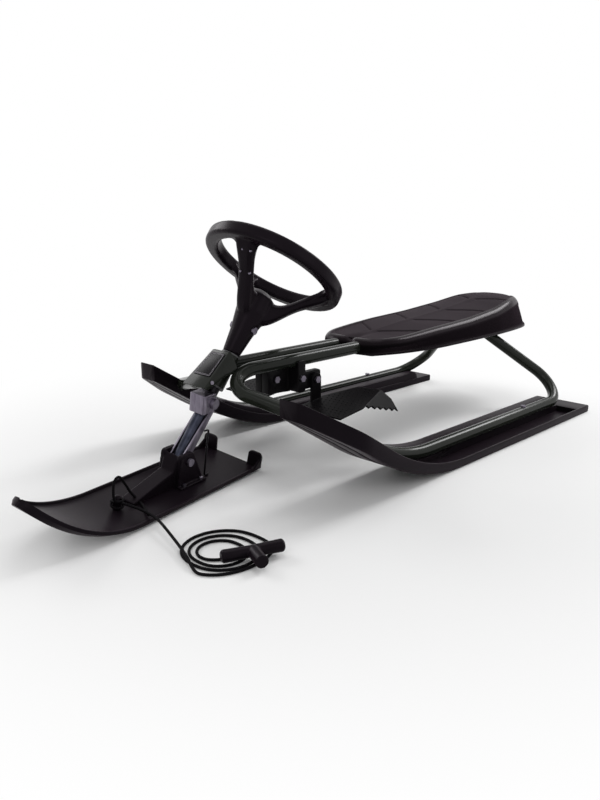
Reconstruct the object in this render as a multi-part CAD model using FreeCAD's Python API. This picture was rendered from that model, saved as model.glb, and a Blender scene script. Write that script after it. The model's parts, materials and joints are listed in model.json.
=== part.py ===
import FreeCAD, Part
import math
import os

os.makedirs("parts", exist_ok=True)

V = FreeCAD.Vector

# The sled stands on z = 0 with +X ahead and +Y to the rider's left, and while it is built x = 0 is the
# rear end of its runners. The steering is drawn straight ahead and then turned as it stands at rest.

# Fits and cuts used all over the sled
weld_gap = 0.3
bolt_clearance = 0.2
running_clearance = 0.05
overrun = 6.0
tiny = 0.001

# Runners: two moulded skis with an upturned, tapered tip
runner_inner_y = 154.0
runner_width = 96.0
runner_length = 807.0
runner_front = 330.0
runner_bend_radius = 400.0
runner_ramp_deg = 32.0
runner_floor = 4.0
runner_wall = 4.0
runner_lip = 15.0
runner_tip_lip = 24.0
runner_hollow_rise = 100.0
runner_ledge = 50.0
runner_tip_width = 44.0
runner_taper_length = 72.0
runner_taper_round = 45.0
rail_width = 26.0
rail_height = 30.0
rail_front_gap = 127.0
rail_round = 9.0
tube_rib_width = 8.0

# Frame tubes: one bent tube on each side
tube_radius = 11.0
tube_wall = 1.5
tube_spread = 25.0
tube_top_z = 175.0
tube_dip_back = 57.0
tube_dip_radius = 60.0
tube_front_back = 1.0
tube_front_z = 158.0
tube_front_radius = 34.0
tube_tip_back = 70.0
tube_tip_y = 180.0
tube_tip_z = 113.0
tube_tip_radius = 24.0
tube_ramp_ahead = 115.0
tube_ramp_radius = 300.0
tube_runner_y = 200.0
tube_runner_z = 27.0
tube_rear_x = -10.0
tube_rear_radius = 55.0
tube_leg_x = 107.0
tube_leg_radius = 60.0
tube_splice_share = 0.633
tube_splice_gap = 0.6
sleeve_length = 56.0
sleeve_wall = 1.5

# Runner screws, driven down through the tubes into the runners' ribs
runner_screw_x = 189.0
runner_screw_radius = 2.5
runner_screw_head_radius = 5.0
runner_screw_head_height = 3.0
runner_screw_bite = 8.0

# Seat: a hard moulded shell, open below, carried on two brackets that lie on the tubes
seat_rear_x = -55.0
seat_front_x = 497.0
seat_half_width = 94.0
seat_skirt_z = 160.0
seat_front_z = 193.0
seat_rear_z = 224.0
seat_edge_radius = 14.0
seat_wall = 4.0
seat_front_rake = 8.0
seat_tube_room = 3.0
seat_gate_share = 0.25
seat_length_shares = (0.0, 0.009, 0.03, 0.071, 0.169, 0.294, 0.49, 0.686, 0.793, 0.865, 0.918, 0.954, 0.98, 1.0)
seat_top_shares = (0.40, 0.55, 0.70, 0.83, 0.94, 0.99, 1.0, 1.0, 0.98, 0.95, 0.89, 0.80, 0.66, 0.47)
seat_low_shares = (0.43, 0.575, 0.713, 0.81, 0.894, 0.98, 0.99, 0.97, 0.883, 0.78, 0.66, 0.56, 0.49, 0.445)
seat_rise_shares = (0.10, 0.48, 0.77, 0.94, 0.87, 0.61, 0.34, 0.16, 0.05, 0.0, -0.02, -0.03, -0.06, -0.10)
seat_groove_depth = 1.6
seat_groove_width = 5.0
seat_groove_start_share = 0.22
seat_groove_step_share = 0.20
seat_groove_count = 4
seat_groove_inner_share = 0.06
seat_groove_outer_share = 0.76
seat_groove_lead_share = 0.09
seat_bracket_shares = (0.365, 0.722)
seat_bracket_length = 40.0
seat_bracket_half_width = 56.0
seat_bracket_sheet = 3.0
seat_boss_y = 46.0
seat_boss_radius = 8.0
seat_screw_radius = 3.0
seat_screw_head_radius = 6.0
seat_screw_head_height = 3.0
seat_screw_bite = 4.5
bracket_rivet_radius = 2.5
bracket_rivet_head_radius = 5.0
bracket_rivet_head_height = 2.0
bracket_rivet_grip = 6.0

# Steering axis: raked back from where it meets the floor
axis_foot_ahead = 106.0
axis_rake_deg = 36.5
steer_rest_deg = 15.0
shaft_radius = 10.0
shaft_bore = 8.0
shaft_low = 176.0
shaft_high = 322.0
head_low = 190.0
head_high = 244.0
head_radius = 15.0
bush_radius = 12.0
bush_length = 16.0
bush_flange_radius = 15.0
bush_flange = 2.0

# Head hood: folded sheet over the head tube, with a bare panel on its sloping face
hood_sheet = 3.0
hood_ahead = 5.0
hood_base_sink = 3.0
hood_top_z = 206.0
hood_top_back = 26.0
hood_top_depth = 5.0
hood_toe_ahead = 29.0
hood_toe_z = 160.0
hood_toe_depth = 7.0
hood_rear_back = 42.0
hood_step_back = 16.0
hood_top_half_width = 20.0
hood_toe_half_width = 27.0
panel_thick = 1.0
panel_top_share = 0.06
panel_low_share = 0.70
panel_width_share = 0.80
panel_round = 2.0
hood_rivet_radius = 3.0
hood_rivet_height = 1.5
hood_rivet_share = 0.78
hood_rivet_inset = 4.8

# Steering wheel: moulded rim, three deep spokes, hub and stem in one piece
rim_height = 404.0
rim_radius = 107.0
rim_thick = 22.0
rim_deep = 22.0
rim_round = 5.0
stem_low = 246.7
stem_radius = 14.0
stem_high = 286.0
hub_low_radius = 19.0
hub_high = 320.0
hub_radius = 26.0
hub_top = 350.0
hub_cap_radius = 14.0
hub_crown = 359.0
stem_clearance = 0.1
spoke_count = 3
spoke_reach_shares = (0.10, 0.335, 0.482, 0.704, 0.95)
spoke_rise_shares = (0.13, 0.205, 0.397, 0.70, 0.96)
spoke_root_height = 318.0
spoke_deeps = (46.0, 32.0, 24.0, 23.0, 19.0)
spoke_wides = (24.0, 25.0, 25.0, 27.0, 34.0)
spoke_round_share = 0.38
wheel_bolt_height = 294.0
wheel_bolt_radius = 3.0
wheel_bolt_head_radius = 6.0
wheel_bolt_head_height = 4.0
wheel_bolt_seat = 18.5
wheel_nut_height = 5.0

# Fork: a folded bracket under the shaft, a strut and a folded channel down to the ski's pivot
fork_front_back = 73.0
fork_rear_back = 111.0
fork_top_z = 148.0
fork_low_z = 114.0
fork_half_width = 16.0
fork_sheet = 3.0
fork_round = 7.0
fork_web_low_z = 119.0
strut_radius = 9.0
strut_bore = 7.0
strut_top = 170.0
channel_half_width = 12.5
channel_sheet = 2.5
channel_back = 12.0
channel_front = -2.0
channel_top = 156.0
fork_bolt_back = 93.0
fork_bolt_z = 133.0
fork_bolt_radius = 4.0
fork_bolt_head_radius = 8.0
fork_bolt_head_height = 5.0
fork_nut_height = 6.0

# Front ski: a short wide ski on a cross bolt, measured from that bolt
ski_half_width = 60.0
ski_tail = 139.0
ski_flat = 128.0
ski_bend_radius = 215.0
ski_bend_deg = 48.5
ski_thick = 7.0
ski_lip = 4.0
ski_lip_width = 5.0
ski_sole_inset = 12.0
ski_sole_rise = 6.0
ski_taper_length = 170.0
ski_taper_steps = 12
ski_tip_share = 0.2
ski_pivot_height = 47.0
ski_tab_length = 26.0
ski_tab_width = 26.0
ski_tab_height = 25.0
ski_tab_round = 7.0
saddle_inner = 13.0
saddle_cheek = 8.0
saddle_crown = 13.0
saddle_rear = 38.0
saddle_front = 104.0
saddle_tower_front = 17.5
saddle_tower_foot = 21.0
saddle_tower_round = 5.0
saddle_shoulder = 25.0
saddle_shoulder_height = 29.0
saddle_foot_height = 4.0
saddle_bridge_start = 14.0
saddle_bridge_inset = 2.0
saddle_flange = 7.0
saddle_flange_thick = 4.0
saddle_screw_xs = (-28.0, 10.0)
saddle_screw_radius = 2.0
saddle_screw_head_radius = 3.2
saddle_screw_head_height = 2.5
pivot_bolt_radius = 4.0
pivot_head_radius = 6.0
pivot_head_height = 5.0
pivot_nut_height = 6.0
spring_wire_radius = 1.5
spring_foot_x = -44.0
spring_arm_y = 17.5
spring_arm_top = 78.0
spring_hook = 9.0
post_x = 125.0
post_y = 1.8
post_radius = 6.0
post_height = 15.0
post_eye_radius = 3.0

# Brake: a housing under the tubes, an axle across it and two pedals with folded claws
housing_front_ahead = 82.0
housing_wall_ahead = 37.0
housing_rear_ahead = 20.0
housing_low_z = 122.0
housing_high_z = 176.0
housing_half_width = 41.0
housing_nose_half_width = 16.0
housing_split = 0.3
housing_round = 5.0
ear_length = 36.0
ear_inner_y = 30.0
ear_low_z = 126.0
ear_high_z = 156.0
axle_back = 187.0
axle_z = 141.0
axle_radius = 6.0
axle_end_gap = 0.6
housing_bolt_ahead = 28.5
housing_nose_bolt_ahead = 64.0
housing_bolt_radius = 3.0
housing_bolt_head_radius = 6.0
housing_bolt_head_height = 3.5
housing_bolt_z = 146.0
pedal_sheet = 3.0
pedal_arm_half_width = 11.0
pedal_arm_gap = 0.5
pedal_arm_step = 5.0
pedal_arm_round_share = 0.9
pedal_front_ahead = 44.0
pedal_front_z = 100.0
pedal_rear_back = 93.0
pedal_rear_z = 118.0
pedal_outer_y = 140.0
pedal_rear_y = 111.0
pedal_corner_back = 12.0
pedal_inner_rear_y = 66.0
pedal_round = 8.0
claw_rear_back = 103.0
claw_rear_y = 142.0
claw_rear_z = 84.0
claw_teeth = 6
claw_tooth_depth = 5.0
claw_tooth_peak_share = 0.7
claw_bulge_share = 0.10
axle_bolt_radius = 3.0
axle_bolt_head_radius = 6.0
axle_bolt_head_height = 4.0
brake_spring_wire = 2.5
brake_spring_turns = 7
brake_spring_pitch = 4.0
brake_spring_gap = 0.7
brake_spring_leg = 16.0

# Tow rope: a thin black cord from the rope post to a loose coil on the floor, with a pull handle, all
# measured from the foot of the steering axis
rope_radius = 2.0
rope_knot_radius = 6.5
rope_bend_share = 0.45
rope_joint_gap = 0.8
rope_points = (
    V(83.0, 37.0, 27.0),
    V(72.0, 50.0, 22.0),
    V(63.0, 69.0, 16.5),
    V(62.0, 89.0, 13.5),
    V(66.5, 108.0, 12.5),
    V(72.5, 130.0, 11.2),
    V(79.0, 153.0, 9.7),
    V(86.0, 176.0, 8.8),
    V(93.5, 198.0, 7.8),
    V(100.0, 215.0, 4.6),
    V(103.0, 226.0, 2.2),
)
coil_near_back = 13.0
coil_far_step = 9.0
coil_near_step = 16.0
coil_stretch = 8.0
coil_half_turns = 6
coil_lead_radius = 38.0
coil_round_radius = 52.0
coil_tail_turn_deg = 57.0
coil_tail_level = 9.0
coil_tail_run = 31.0
coil_tail_rise = 6.5
coil_tail_radius = 26.0
coil_gap_stretch = 16.0
handle_start_point = V(71.0, 236.0, 13.2)
handle_end_point = V(-6.0, 266.0, 13.2)
handle_radius = 8.5
handle_waist_radius = 7.6
handle_end_round = 2.5
handle_boss_length = 33.0
handle_boss_radius = 8.5


def rod(start, end, radius):
    """Round bar between two points."""
    along = end - start
    return Part.makeCylinder(radius, along.Length, start, along)


def block(low, high):
    """Box between two opposite corners."""
    size = high - low
    return Part.makeBox(size.x, size.y, size.z, low)


def slab(points, through):
    """Flat outline carried straight along a vector."""
    return Part.Face(Part.makePolygon(points + [points[0]])).extrude(through)


def bent_wire(points, radii, closed=False):
    """Straight runs through the points, each corner rounded by a tangent arc of its own radius."""
    count = len(points)
    corners = range(count) if closed else range(1, count - 1)
    cuts = {}
    for place, radius in zip(corners, radii):
        here = points[place]
        back = (points[place - 1] - here).normalize()
        ahead = (points[(place + 1) % count] - here).normalize()
        half = back.getAngle(ahead) / 2
        middle = (back + ahead).normalize()
        reach = radius / math.tan(half)
        centre = here + middle * (radius / math.sin(half))
        cuts[place] = (here + back * reach, centre - middle * radius, here + ahead * reach)
    edges = []
    last = cuts[count - 1][2] if closed else points[0]
    for place in range(count):
        stops = cuts.get(place, (points[place],))
        if (stops[0] - last).Length > tiny:
            edges.append(Part.LineSegment(last, stops[0]).toShape())
        if len(stops) > 1:
            edges.append(Part.Arc(*stops).toShape())
        last = stops[-1]
    return Part.Wire(edges)


def round_slab(points, radius, through):
    """Flat outline with every corner rounded alike, carried straight along a vector."""
    return Part.Face(bent_wire(points, [radius] * len(points), True)).extrude(through)


def swept(wire, radius):
    """Solid of round section along a wire of lines and arcs."""
    first = wire.OrderedEdges[0]
    start = first.valueAt(first.FirstParameter)
    along = first.tangentAt(first.FirstParameter)
    ring = Part.Wire(Part.makeCircle(radius, start, along))
    return wire.makePipeShell([ring], True, False)


def fused(shapes):
    """One solid out of pieces that touch or overlap."""
    whole = shapes[0]
    for other in shapes[1:]:
        whole = whole.fuse(other)
    return whole.removeSplitter()


def group(shapes):
    """Separate like solids kept together as one node."""
    return Part.makeCompound(shapes)


def mirrored(shape):
    """The same piece on the other side of the sled."""
    return shape.mirror(V(0, 0, 0), V(0, 1, 0))


def hexagon(start, end, radius):
    """Six-sided nut or bolt head between two points on its axis."""
    along = end - start
    side = V(0, 0, 1) if abs(along.z) < along.Length / 2 else V(1, 0, 0)
    across = along.cross(side).normalize()
    side = across.cross(along).normalize()
    turns = [math.radians(60 * corner) for corner in range(6)]
    points = [start + across * (radius * math.cos(turn)) + side * (radius * math.sin(turn)) for turn in turns]
    return slab(points, along)


# Runners

runner_flat = runner_length - runner_front
rail_end = runner_length - rail_front_gap
tube_front_x = runner_length - tube_front_back
ramp = math.radians(runner_ramp_deg)
ramp_along = V(math.cos(ramp), 0, math.sin(ramp))
ramp_normal = V(-math.sin(ramp), 0, math.cos(ramp))
ramp_start = V(runner_flat + runner_bend_radius * math.sin(ramp), 0, runner_bend_radius * (1 - math.cos(ramp)))
runner_outer_y = runner_inner_y + runner_width
runner_top_z = ramp_start.z + runner_length


def runner_layer(low, flat_high, ramp_high, near_y, far_y):
    """Layer of a runner between two heights above its sole and two distances from the middle."""
    half = ramp / 2
    bend_along = V(math.sin(half), 0, -math.cos(half))
    bend_centre = V(runner_flat, 0, runner_bend_radius)

    def bend_point(height):
        return bend_centre + bend_along * (runner_bend_radius - height)

    def tip_point(height):
        start = ramp_start + ramp_normal * height
        return start + ramp_along * ((runner_length - start.x) / ramp_along.x)

    mid_high = (flat_high + ramp_high) / 2
    low_ramp = ramp_start + ramp_normal * low
    high_ramp = ramp_start + ramp_normal * ramp_high
    edges = [
        Part.LineSegment(V(0, 0, low), V(runner_flat, 0, low)).toShape(),
        Part.Arc(V(runner_flat, 0, low), bend_point(low), low_ramp).toShape(),
        Part.LineSegment(low_ramp, tip_point(low)).toShape(),
        Part.LineSegment(tip_point(low), tip_point(ramp_high)).toShape(),
        Part.LineSegment(tip_point(ramp_high), high_ramp).toShape(),
        Part.Arc(high_ramp, bend_point(mid_high), V(runner_flat, 0, flat_high)).toShape(),
        Part.LineSegment(V(runner_flat, 0, flat_high), V(0, 0, flat_high)).toShape(),
        Part.LineSegment(V(0, 0, flat_high), V(0, 0, low)).toShape(),
    ]
    face = Part.Face(Part.Wire(edges))
    face.translate(V(0, near_y, 0))
    return face.extrude(V(0, far_y - near_y, 0))


def runner_plan(inset, rear_x):
    """Column over the runner's plan, set in from its edges, with the outer corner of the tip tapered."""
    inner = runner_inner_y + inset
    outer = runner_outer_y - inset
    front = runner_length - inset
    tip = runner_inner_y + runner_tip_width - inset
    points = [
        V(rear_x, inner, -overrun),
        V(front, inner, -overrun),
        V(front, tip, -overrun),
        V(front - runner_taper_length, outer, -overrun),
        V(rear_x, outer, -overrun),
    ]
    radii = [tiny, tiny, runner_taper_round / 2, runner_taper_round, tiny]
    return Part.Face(bent_wire(points, radii, True)).extrude(V(0, 0, runner_top_z))


seat_length = seat_front_x - seat_rear_x
seat_bracket_xs = [seat_rear_x + seat_length * share for share in seat_bracket_shares]
tube_splice_x = seat_rear_x + seat_length * tube_splice_share
tube_corners = [
    V(tube_splice_x + tube_splice_gap / 2, tube_spread, tube_top_z),
    V(runner_length - tube_dip_back, tube_spread, tube_top_z),
    V(tube_front_x, tube_spread, tube_front_z),
    V(runner_length - tube_tip_back, tube_tip_y, tube_tip_z),
    V(runner_flat + tube_ramp_ahead, tube_runner_y, tube_runner_z),
    V(tube_rear_x, tube_runner_y, tube_runner_z),
    V(tube_leg_x, tube_spread, tube_top_z),
    V(tube_splice_x - tube_splice_gap / 2, tube_spread, tube_top_z),
]
tube_radii = [tube_dip_radius, tube_front_radius, tube_tip_radius, tube_ramp_radius, tube_rear_radius,
              tube_leg_radius]
tube_wire = bent_wire(tube_corners, tube_radii)
tube_room = swept(tube_wire, tube_radius + weld_gap)

rail_inner_y = runner_inner_y + runner_wall
tube_low_z = tube_runner_z - tube_radius
runner_screw_place = V(runner_screw_x, tube_runner_y, tube_runner_z + tube_radius)


def runner_screw():
    """Pan-head screw down through the tube into the rib, with its head on the tube."""
    place = runner_screw_place
    tip = V(place.x, place.y, tube_low_z - runner_screw_bite)
    seat = place + V(0, 0, weld_gap)
    shank = rod(tip, seat, runner_screw_radius)
    head = rod(seat, seat + V(0, 0, runner_screw_head_height), runner_screw_head_radius)
    return fused([shank, head])


def runner():
    """Left runner: floor with lips all round, a solid tail, an inner rail and the rib under the tube."""
    lips = runner_layer(0, runner_lip, runner_tip_lip, runner_inner_y, runner_outer_y)
    lips = lips.common(runner_plan(0, 0))
    hollow_top = runner_tip_lip + runner_hollow_rise
    hollow = runner_layer(runner_floor, hollow_top, hollow_top, runner_inner_y, runner_outer_y)
    tray = lips.cut(hollow.common(runner_plan(runner_wall, runner_ledge)))
    rail = runner_layer(runner_floor - tiny, rail_height, rail_height, rail_inner_y, rail_inner_y + rail_width)
    rail_zone = block(V(runner_ledge, runner_inner_y, -overrun), V(rail_end, runner_outer_y, runner_top_z))
    rail = rail.common(rail_zone)
    ends = [edge for edge in rail.Edges if rail_end_edge(edge)]
    rail = rail.makeFillet(rail_round, ends)
    rib_y = tube_runner_y - tube_rib_width / 2
    rib = block(V(runner_ledge, rib_y, runner_floor - tiny), V(runner_flat, rib_y + tube_rib_width, tube_low_z))
    solid = fused([tray, rail, rib]).cut(tube_room)
    place = runner_screw_place
    foot = V(place.x, place.y, tube_low_z - runner_screw_bite - bolt_clearance)
    return solid.cut(rod(foot, place, runner_screw_radius + bolt_clearance))


def rail_end_edge(edge):
    """True for the rail's upper cross edge at its rear end."""
    box = edge.BoundBox
    return box.XMax < runner_ledge + tiny and box.ZMin > rail_height - tiny


def frame_tube():
    """Left frame tube with its bore, drilled for the runner screw and the seat bracket rivets."""
    tube = swept(tube_wire, tube_radius).cut(swept(tube_wire, tube_radius - tube_wall))
    place = runner_screw_place
    low = V(place.x, place.y, tube_low_z - overrun)
    tube = tube.cut(rod(low, place + V(0, 0, overrun), runner_screw_radius + bolt_clearance))
    for x in seat_bracket_xs:
        low = V(x, tube_spread, tube_top_z)
        tube = tube.cut(rod(low, low + V(0, 0, tube_radius + overrun), bracket_rivet_radius + bolt_clearance))
    return tube


def tube_sleeve():
    """Sleeve round the two tube ends that meet under the seat."""
    start = V(tube_splice_x - sleeve_length / 2, tube_spread, tube_top_z)
    end = start + V(sleeve_length, 0, 0)
    bore = tube_radius + bolt_clearance
    return rod(start, end, bore + sleeve_wall).cut(rod(start, end, bore))


# Seat

bracket_low_z = tube_top_z + tube_radius + weld_gap
bracket_high_z = bracket_low_z + seat_bracket_sheet


def seat_sections(inset):
    """Cross sections of the seat from tail to nose: flared skirt, rounded shoulders, level top."""
    wires = []
    for length_share, top_share, low_share, rise_share in zip(
            seat_length_shares, seat_top_shares, seat_low_shares, seat_rise_shares):
        x = seat_rear_x + inset + (seat_length - 2 * inset) * length_share
        top_half = seat_half_width * top_share - inset
        low_half = seat_half_width * low_share - inset
        top = seat_front_z + (seat_rear_z - seat_front_z) * rise_share - inset
        low = seat_skirt_z - (overrun if inset else 0)
        points = [V(x, -low_half, low), V(x, -top_half, top), V(x, top_half, top), V(x, low_half, low)]
        edge = seat_edge_radius - inset
        wires.append(bent_wire(points, [tiny, edge, edge, tiny], True))
    return wires


def seat_shell():
    """Seat moulding: hollow shell, raked nose cut open for the tubes, vein grooves and four screw bosses."""
    outer = Part.makeLoft(seat_sections(0), True, True)
    inner = Part.makeLoft(seat_sections(seat_wall), True, True)
    nose_points = [
        V(seat_front_x - seat_front_rake, -seat_half_width, seat_skirt_z),
        V(seat_front_x + overrun, -seat_half_width, seat_front_z),
        V(seat_front_x + overrun, -seat_half_width, seat_skirt_z - overrun),
        V(seat_front_x - seat_front_rake, -seat_half_width, seat_skirt_z - overrun),
    ]
    nose = slab(nose_points, V(0, 2 * seat_half_width, 0))
    shell = outer.cut(inner).cut(nose)
    room = tube_radius + seat_tube_room
    gate_low = V(seat_front_x - seat_length * seat_gate_share, -tube_spread - room, seat_skirt_z - overrun)
    gate_high = V(seat_front_x + overrun, tube_spread + room, bracket_low_z + weld_gap)
    shell = shell.cut(block(gate_low, gate_high))
    bosses = []
    for place in seat_screw_places():
        top = V(place.x, place.y, seat_rear_z)
        bosses.append(rod(V(place.x, place.y, bracket_high_z + weld_gap), top, seat_boss_radius).common(outer))
    shell = fused([shell] + bosses)
    for place in seat_screw_places():
        top = V(place.x, place.y, bracket_high_z + weld_gap + seat_screw_bite + bolt_clearance)
        shell = shell.cut(rod(place, top, seat_screw_radius + bolt_clearance))
    for groove in seat_grooves():
        shell = shell.cut(groove)
    return shell


def seat_top(x):
    """Height of the seat's top over one place along it."""
    share = (x - seat_rear_x) / seat_length
    for place in range(1, len(seat_length_shares)):
        low, high = seat_length_shares[place - 1], seat_length_shares[place]
        if share <= high:
            part = (share - low) / (high - low)
            rise = seat_rise_shares[place - 1] * (1 - part) + seat_rise_shares[place] * part
            return seat_front_z + (seat_rear_z - seat_front_z) * rise
    return seat_front_z


def seat_grooves():
    """Slanting grooves in the seat's top, in pairs like the veins of a leaf, running out towards the tail."""
    cutters = []
    for place in range(seat_groove_count):
        start_x = seat_rear_x + seat_length * (seat_groove_start_share + place * seat_groove_step_share)
        end_x = start_x - seat_length * seat_groove_lead_share
        for side in (-1, 1):
            start = V(start_x, side * seat_half_width * seat_groove_inner_share, seat_top(start_x))
            end = V(end_x, side * seat_half_width * seat_groove_outer_share, seat_top(end_x))
            sink = V(0, 0, seat_groove_width / 2 - seat_groove_depth)
            cutters.append(rod(start + sink, end + sink, seat_groove_width / 2))
    return cutters


def seat_screw_places():
    """Points under the brackets where the seat screws go up into the bosses."""
    return [V(x, y, bracket_low_z) for x in seat_bracket_xs for y in (-seat_boss_y, seat_boss_y)]


def bracket_rivet_places():
    """Points on the brackets over the tubes where their rivets stand."""
    return [V(x, y, bracket_high_z) for x in seat_bracket_xs for y in (-tube_spread, tube_spread)]


def seat_bracket(x):
    """Cross plate that lies on both tubes and carries the seat, drilled for its screws and rivets."""
    half = seat_bracket_length / 2
    low = V(x - half, -seat_bracket_half_width, bracket_low_z)
    high = V(x + half, seat_bracket_half_width, bracket_high_z)
    plate = block(low, high)
    through = V(0, 0, seat_bracket_sheet + overrun)
    for place in seat_screw_places():
        start = place - V(0, 0, overrun / 2)
        plate = plate.cut(rod(start, start + through, seat_screw_radius + bolt_clearance))
    for place in bracket_rivet_places():
        start = place - through
        plate = plate.cut(rod(start, place + V(0, 0, overrun), bracket_rivet_radius + bolt_clearance))
    return plate


def seat_screw(place):
    """Screw up through a bracket into a boss."""
    seat = place - V(0, 0, weld_gap)
    tip = V(place.x, place.y, bracket_high_z + weld_gap + seat_screw_bite)
    head = rod(seat - V(0, 0, seat_screw_head_height), seat, seat_screw_head_radius)
    return fused([rod(seat, tip, seat_screw_radius), head])


def bracket_rivet(place):
    """Blind rivet through a bracket into the tube below."""
    seat = place + V(0, 0, weld_gap)
    tip = V(place.x, place.y, tube_top_z + tube_radius - bracket_rivet_grip)
    head = rod(seat, seat + V(0, 0, bracket_rivet_head_height), bracket_rivet_head_radius)
    return fused([rod(tip, seat, bracket_rivet_radius), head])


# Head and steering

rake = math.radians(axis_rake_deg)
axis = V(-math.sin(rake), 0, math.cos(rake))
ahead = V(math.cos(rake), 0, math.sin(rake))
axis_foot_x = runner_length + axis_foot_ahead
axis_foot = V(axis_foot_x, 0, 0)


def on_axis(height, reach=0.0, side=0.0):
    """Point at a height along the steering axis, a reach ahead of it and a distance to its left."""
    return axis_foot + axis * height + ahead * reach + V(0, side, 0)


def head_tube():
    """Bearing tube between the frame tubes."""
    low, high = on_axis(head_low), on_axis(head_high)
    return rod(low, high, head_radius).cut(rod(low, high, bush_radius + bolt_clearance))


def head_bush(end, inward):
    """Flanged bush in one end of the head tube."""
    seat = on_axis(end - inward * weld_gap)
    body = rod(on_axis(end + inward * bush_length), seat, bush_radius)
    flange = rod(seat, on_axis(end - inward * (weld_gap + bush_flange)), bush_flange_radius)
    low, high = on_axis(head_low - head_high), on_axis(head_high + head_high)
    return fused([body, flange]).cut(rod(low, high, shaft_radius + running_clearance))


hood_base_z = tube_top_z - hood_base_sink
hood_line_x = runner_length + hood_ahead
hood_top_x = hood_line_x - hood_top_back
hood_toe_x = hood_line_x + hood_toe_ahead
hood_rear_x = hood_line_x - hood_rear_back
hood_step_x = hood_line_x - hood_step_back
hood_drop = V(hood_toe_x - hood_top_x, 0, hood_toe_z - hood_top_z)
hood_down = V(hood_drop).normalize()
hood_normal = V(-hood_down.z, 0, hood_down.x)


def hood_half_width(z):
    """Half width of the hood at a height: it widens evenly from its top to its toe."""
    share = (hood_top_z - z) / (hood_top_z - hood_toe_z)
    return hood_top_half_width + (hood_toe_half_width - hood_top_half_width) * share


def hood_form(inset):
    """Wedge under the hood's sheet, set in by the sheet's thickness and open below when it is the inside."""
    reach = hood_normal * -inset
    top = V(hood_top_x, 0, hood_top_z) + reach
    toe = V(hood_toe_x, 0, hood_toe_z) + reach
    open_down = overrun if inset else 0
    side = [
        V(hood_top_x - hood_top_depth - open_down, 0, hood_top_z - inset),
        V(top.x, 0, hood_top_z - inset),
        toe + hood_down * open_down,
        toe - V(hood_toe_depth, 0, hood_toe_depth / 2) + hood_down * open_down - V(open_down, 0, 0),
        V(hood_step_x - open_down, 0, hood_base_z - open_down),
        V(hood_rear_x - open_down, 0, hood_base_z - open_down),
    ]
    side_prism = slab([point - V(0, hood_toe_half_width + overrun, 0) for point in side],
                      V(0, 2 * (hood_toe_half_width + overrun), 0))
    high_z = hood_top_z + overrun
    low_z = hood_toe_z - overrun - hood_toe_depth
    rear = hood_rear_x - 2 * overrun
    front = [
        V(rear, hood_half_width(high_z) - inset, high_z),
        V(rear, hood_half_width(low_z) - inset, low_z),
        V(rear, inset - hood_half_width(low_z), low_z),
        V(rear, inset - hood_half_width(high_z), high_z),
    ]
    return side_prism.common(slab(front, V(hood_toe_x - rear + overrun, 0, 0)))


def head_hood():
    """Folded hood: sloping front plate with two cheeks coped to stand on the frame tubes."""
    head_room = rod(on_axis(head_low), on_axis(head_high + overrun), head_radius + weld_gap)
    hood = hood_form(0).cut(hood_form(hood_sheet)).cut(head_room)
    return hood.cut(tube_room).cut(mirrored(tube_room))


def label_panel():
    """Bare panel stuck on the hood's sloping plate."""
    top = V(hood_top_x, 0, hood_top_z) + hood_drop * panel_top_share
    low = V(hood_top_x, 0, hood_top_z) + hood_drop * panel_low_share
    top_half = V(0, hood_half_width(top.z) * panel_width_share, 0)
    low_half = V(0, hood_half_width(low.z) * panel_width_share, 0)
    points = [top - top_half, top + top_half, low + low_half, low - low_half]
    return round_slab(points, panel_round, hood_normal * panel_thick)


def hood_rivets():
    """Rivet heads low on both cheeks of the hood."""
    place = V(hood_top_x, 0, hood_top_z) + hood_drop * hood_rivet_share - hood_normal * hood_rivet_inset
    outward = V(0, hood_top_z - hood_toe_z, hood_toe_half_width - hood_top_half_width).normalize()
    seat = place + V(0, hood_half_width(place.z), 0) + outward * weld_gap
    rivet = rod(seat, seat + outward * hood_rivet_height, hood_rivet_radius)
    return group([rivet, mirrored(rivet)])


def rounded_section(centre, across, along, wide, deep):
    """Rounded rectangle about a centre, wide across and deep along, its corners a share of the lesser side."""
    radius = min(wide, deep) * spoke_round_share
    a, b = across * (wide / 2), along * (deep / 2)
    return bent_wire([centre - a - b, centre + a - b, centre + a + b, centre - a + b], [radius] * 4, True)


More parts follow.
